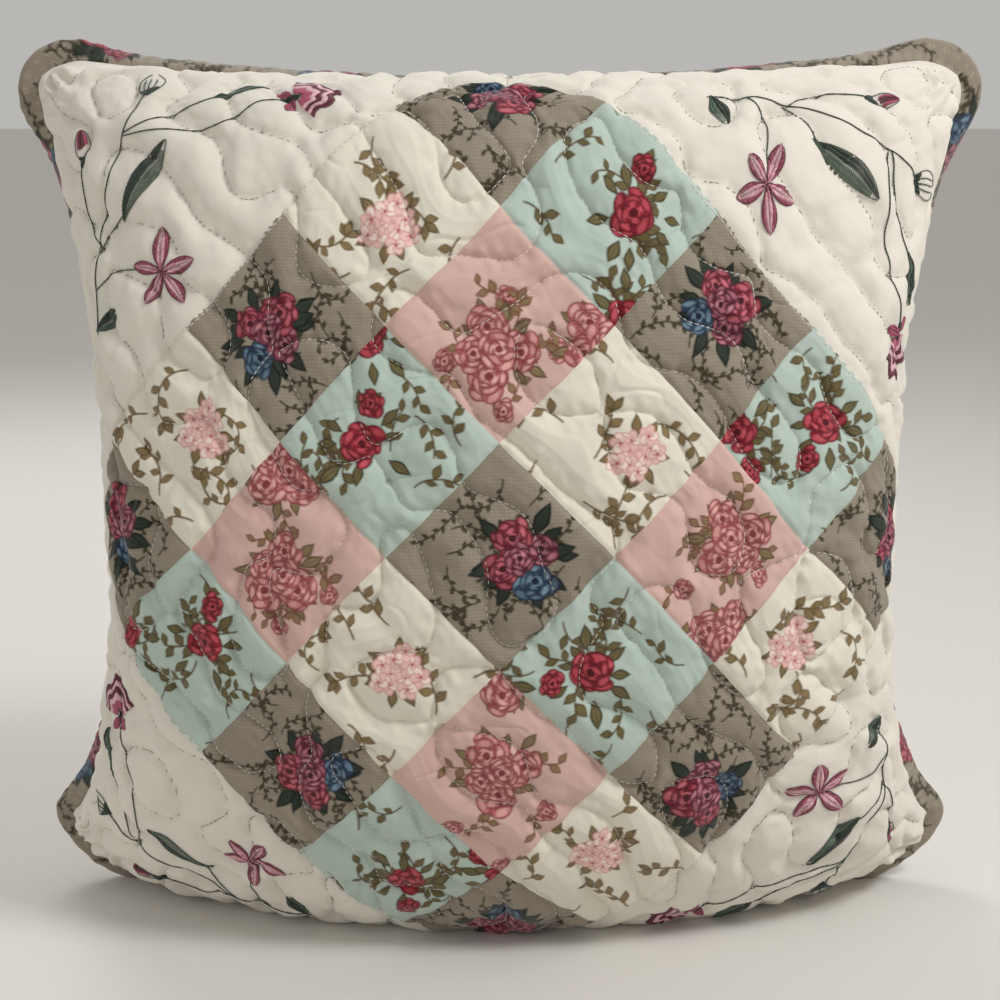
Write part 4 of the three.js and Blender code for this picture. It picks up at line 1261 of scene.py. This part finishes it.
def make_placket_stitches(line, edge, side):
    inside = abs(line) < 0.9
    places = np.stack([line[inside] * HALF, (edge[inside] + side * PLACKET_STITCH / HALF) * HALF], -1)
    ends = along_line(places, 2.9, 2.2)
    points, normals = lift(BACK, ends[..., 0] / HALF, ends[..., 1] / HALF, -0.35)
    piece = strands(f"placket_stitches_{'upper' if side > 0 else 'lower'}", points[:, 0], points[:, 1],
                    normals.mean(1), 0.2, 0.22)
    finish_piece(piece, white_thread)


back_upper, upper_line, upper_edge = make_back_panel("back_panel_upper_cloth", 1, 170)
back_lower, lower_line, lower_edge = make_back_panel("back_panel_lower_cloth", -1, 90)
finish_piece(back_upper, ground_material, stands_for=["back_panel_upper"])
finish_piece(back_lower, ground_material, stands_for=["back_panel_lower"])
make_placket_stitches(upper_line, upper_edge, 1)
make_placket_stitches(lower_line, lower_edge, -1)

# ---- Zip: nylon coils round the cushion's curve; the tapes, stops, slider and pull are the CAD's ----
AXIS_Y = zip_axis_y() + SEAM_SET
COIL_PITCH, COIL_WIRE, STOP_ROOM = 1.7, 0.34, 2.9
COIL_INNER, COIL_OUTER, COIL_LOW, COIL_HIGH = -1.2, 0.5, 1.5, 3.6


def on_zip(arc, out, z):
    angle = arc / ZIP_RADIUS
    away = ZIP_RADIUS + out
    return np.stack([-away * np.sin(angle), AXIS_Y + away * np.cos(angle), ZIP_HEIGHT + z], -1)


def make_coil(name, side):
    reach = ZIP_RADIUS * ZIP_HALF_ANGLE - STOP_ROOM
    turns = int(2 * reach / COIL_PITCH)
    per, around = 14, 6
    t = np.arange(turns * per + 1) / per
    flat = 0.5 * (COIL_OUTER - COIL_INNER) - COIL_WIRE
    wide = 0.5 * (COIL_HIGH - COIL_LOW) - COIL_WIRE
    middle_out, middle_z = (COIL_INNER + COIL_OUTER) / 2, (COIL_LOW + COIL_HIGH) / 2

    def centre(t):
        a = 2 * math.pi * t
        square = lambda c: np.sign(c) * abs(c) ** 0.7
        return on_zip(-reach + t * COIL_PITCH,
                      middle_out + flat * square(np.cos(a)), side * (middle_z + wide * square(np.sin(a))))

    at = centre(t)
    forward = centre(t + 0.01) - centre(t - 0.01)
    forward /= np.linalg.norm(forward, axis=1, keepdims=True)
    arc = t * COIL_PITCH - reach
    lead = on_zip(arc + 1, 0 * t, 0 * t) - on_zip(arc, 0 * t, 0 * t)
    side_way = np.cross(forward, lead)
    side_way /= np.linalg.norm(side_way, axis=1, keepdims=True)
    other = np.cross(side_way, forward)
    angle = np.arange(around)[:, None] * 2 * math.pi / around
    points = at[:, None] + COIL_WIRE * (side_way[:, None] * np.cos(angle) + other[:, None] * np.sin(angle))
    i, k = np.meshgrid(np.arange(len(t) - 1), np.arange(around), indexing="ij")
    a, b = i * around + k, i * around + (k + 1) % around
    faces = np.stack([a, a + around, b + around, b], -1).reshape(-1, 4)
    piece = mesh_object(name, points, faces)
    finish_piece(piece, coil_material, stands_for=[name.replace("_teeth", "")])


def plain_look(name, colour, roughness, metallic=0.0, noise_scale=400.0, spread=0.12, bump_depth=0.1):
    material, nodes, links, shader = new_material(name)
    shader.inputs["Metallic"].default_value = metallic
    place = nodes.new("ShaderNodeTexCoord")
    noise = set_inputs(nodes.new("ShaderNodeTexNoise"), Scale=noise_scale, Detail=4)
    links.new(place.outputs["Object"], noise.inputs["Vector"])
    shade = set_inputs(nodes.new("ShaderNodeMapRange"), To_Min=1 - spread, To_Max=1 + spread)
    links.new(noise.outputs["Fac"], shade.inputs["Value"])
    scale = nodes.new("ShaderNodeVectorMath")
    scale.operation = "SCALE"
    scale.inputs[0].default_value = tuple(to_linear(colour))
    links.new(shade.outputs["Result"], scale.inputs["Scale"])
    links.new(scale.outputs[0], shader.inputs["Base Color"])
    rough = set_inputs(nodes.new("ShaderNodeMapRange"), To_Min=roughness - 0.06, To_Max=roughness + 0.08)
    links.new(noise.outputs["Fac"], rough.inputs["Value"])
    links.new(rough.outputs["Result"], shader.inputs["Roughness"])
    bump = set_inputs(nodes.new("ShaderNodeBump"), Strength=bump_depth, Distance=0.0001)
    links.new(noise.outputs["Fac"], bump.inputs["Height"])
    links.new(bump.outputs["Normal"], shader.inputs["Normal"])
    return material


coil_material = plain_look("zip_nylon", (214, 208, 190), 0.42, 0.0, 300)
metal_material = plain_look("zinc_alloy", (176, 173, 164), 0.3, 1.0, 500, 0.06)
tape_material = plain_look("zip_tape", (216, 210, 194), 0.85, 0.0, 1500, 0.15, 0.5)
wadding_material = plain_look("polyester_wadding", (242, 242, 238), 0.95, 0.0, 250, 0.08, 0.6)
calico_material = cloth_material("calico", (226, 220, 203), depth=0.35)

make_coil("zip_coil_upper_teeth", 1)
make_coil("zip_coil_lower_teeth", -1)

for node, material, slot in (
        ("zip_tape_upper", tape_material, "zip_tape"), ("zip_tape_lower", tape_material, "zip_tape"),
        ("zip_top_stop_upper", metal_material, "zinc_alloy"),
        ("zip_top_stop_lower", metal_material, "zinc_alloy"),
        ("zip_bottom_stop", metal_material, "zinc_alloy"), ("zip_slider", metal_material, "zinc_alloy"),
        ("zip_pull", metal_material, "zinc_alloy")):
    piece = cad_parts[node]
    piece.data.materials.clear()
    piece.data.materials.append(material)
    rounded = piece.modifiers.new("rounded", "BEVEL")
    rounded.width = 0.00012 if "stop" in node or "tape" in node else 0.00025
    rounded.segments = 2
    rounded.limit_method = "ANGLE"
    rounded.angle_limit = math.radians(40)

# ---- Inside: wadding, lining, and the insert with its filling ----
INSERT_INSET, INSERT_LOWEST, TICKING_CELLS = 20.0, 9.0, 90


def make_inner_sheet(name, cells, offset, node, material):
    p, q = panel_grid(cells)
    u, v = p * HALF, q * HALF
    rim = smooth_step(0, 14, HALF - np.maximum(abs(u), abs(v)))
    points = lift(FRONT, p * 0.998, q * 0.998, 0.8 * front_relief(u, v) + offset * (0.25 + 0.75 * rim))[0]
    points[..., 2] = np.maximum(points[..., 2], 0.4 - offset * 0.4)
    piece = cloth_sheet(name, points, u, v)
    finish_piece(piece, material, stands_for=[node])


def insert_surface(face, inset, slack, cells):
    p, q = panel_grid(cells)
    points = form_point(face, p, q, inset, slack)
    calm = smooth_step(0, 0.2, 1 - np.maximum(abs(p), abs(q)))
    points[..., 1] += face * 0.8 * wander(p * HALF, q * HALF, 60.0, 51 + face) * calm
    points[..., 2] = np.maximum(points[..., 2], INSERT_LOWEST)
    return p, q, points


def make_ticking(face, name, node):
    p, q, points = insert_surface(face, INSERT_INSET, 8.0, TICKING_CELLS)
    piece = cloth_sheet(name, points, p * HALF, q * HALF, face == BACK)
    finish_piece(piece, calico_material, stands_for=[node])


def make_filling():
    cells = 60
    front, back = (insert_surface(face, INSERT_INSET + 4, 11.0, cells)[2] for face in (FRONT, BACK))
    number = np.arange((cells + 1) ** 2).reshape(cells + 1, cells + 1)
    other = number + (cells + 1) ** 2
    other[[0, -1], :] = number[[0, -1], :]
    other[:, [0, -1]] = number[:, [0, -1]]
    faces = np.concatenate([grid_faces(cells + 1, cells + 1),
                            other.ravel()[grid_faces(cells + 1, cells + 1)][:, ::-1]])
    used, faces = np.unique(faces, return_inverse=True)
    points = np.concatenate([front.reshape(-1, 3), back.reshape(-1, 3)])[used]
    piece = mesh_object("insert_filling", points, faces.reshape(-1, 4))
    finish_piece(piece, wadding_material, stands_for=["fibre_filling"])


make_filling()
make_ticking(FRONT, "insert_front_cloth", "insert_ticking_front")
make_ticking(BACK, "insert_back_cloth", "insert_ticking_back")
make_inner_sheet("wadding_sheet", 150, -1.6, "front_wadding", wadding_material)
make_inner_sheet("lining_sheet", 120, -3.0, "front_lining", calico_material)
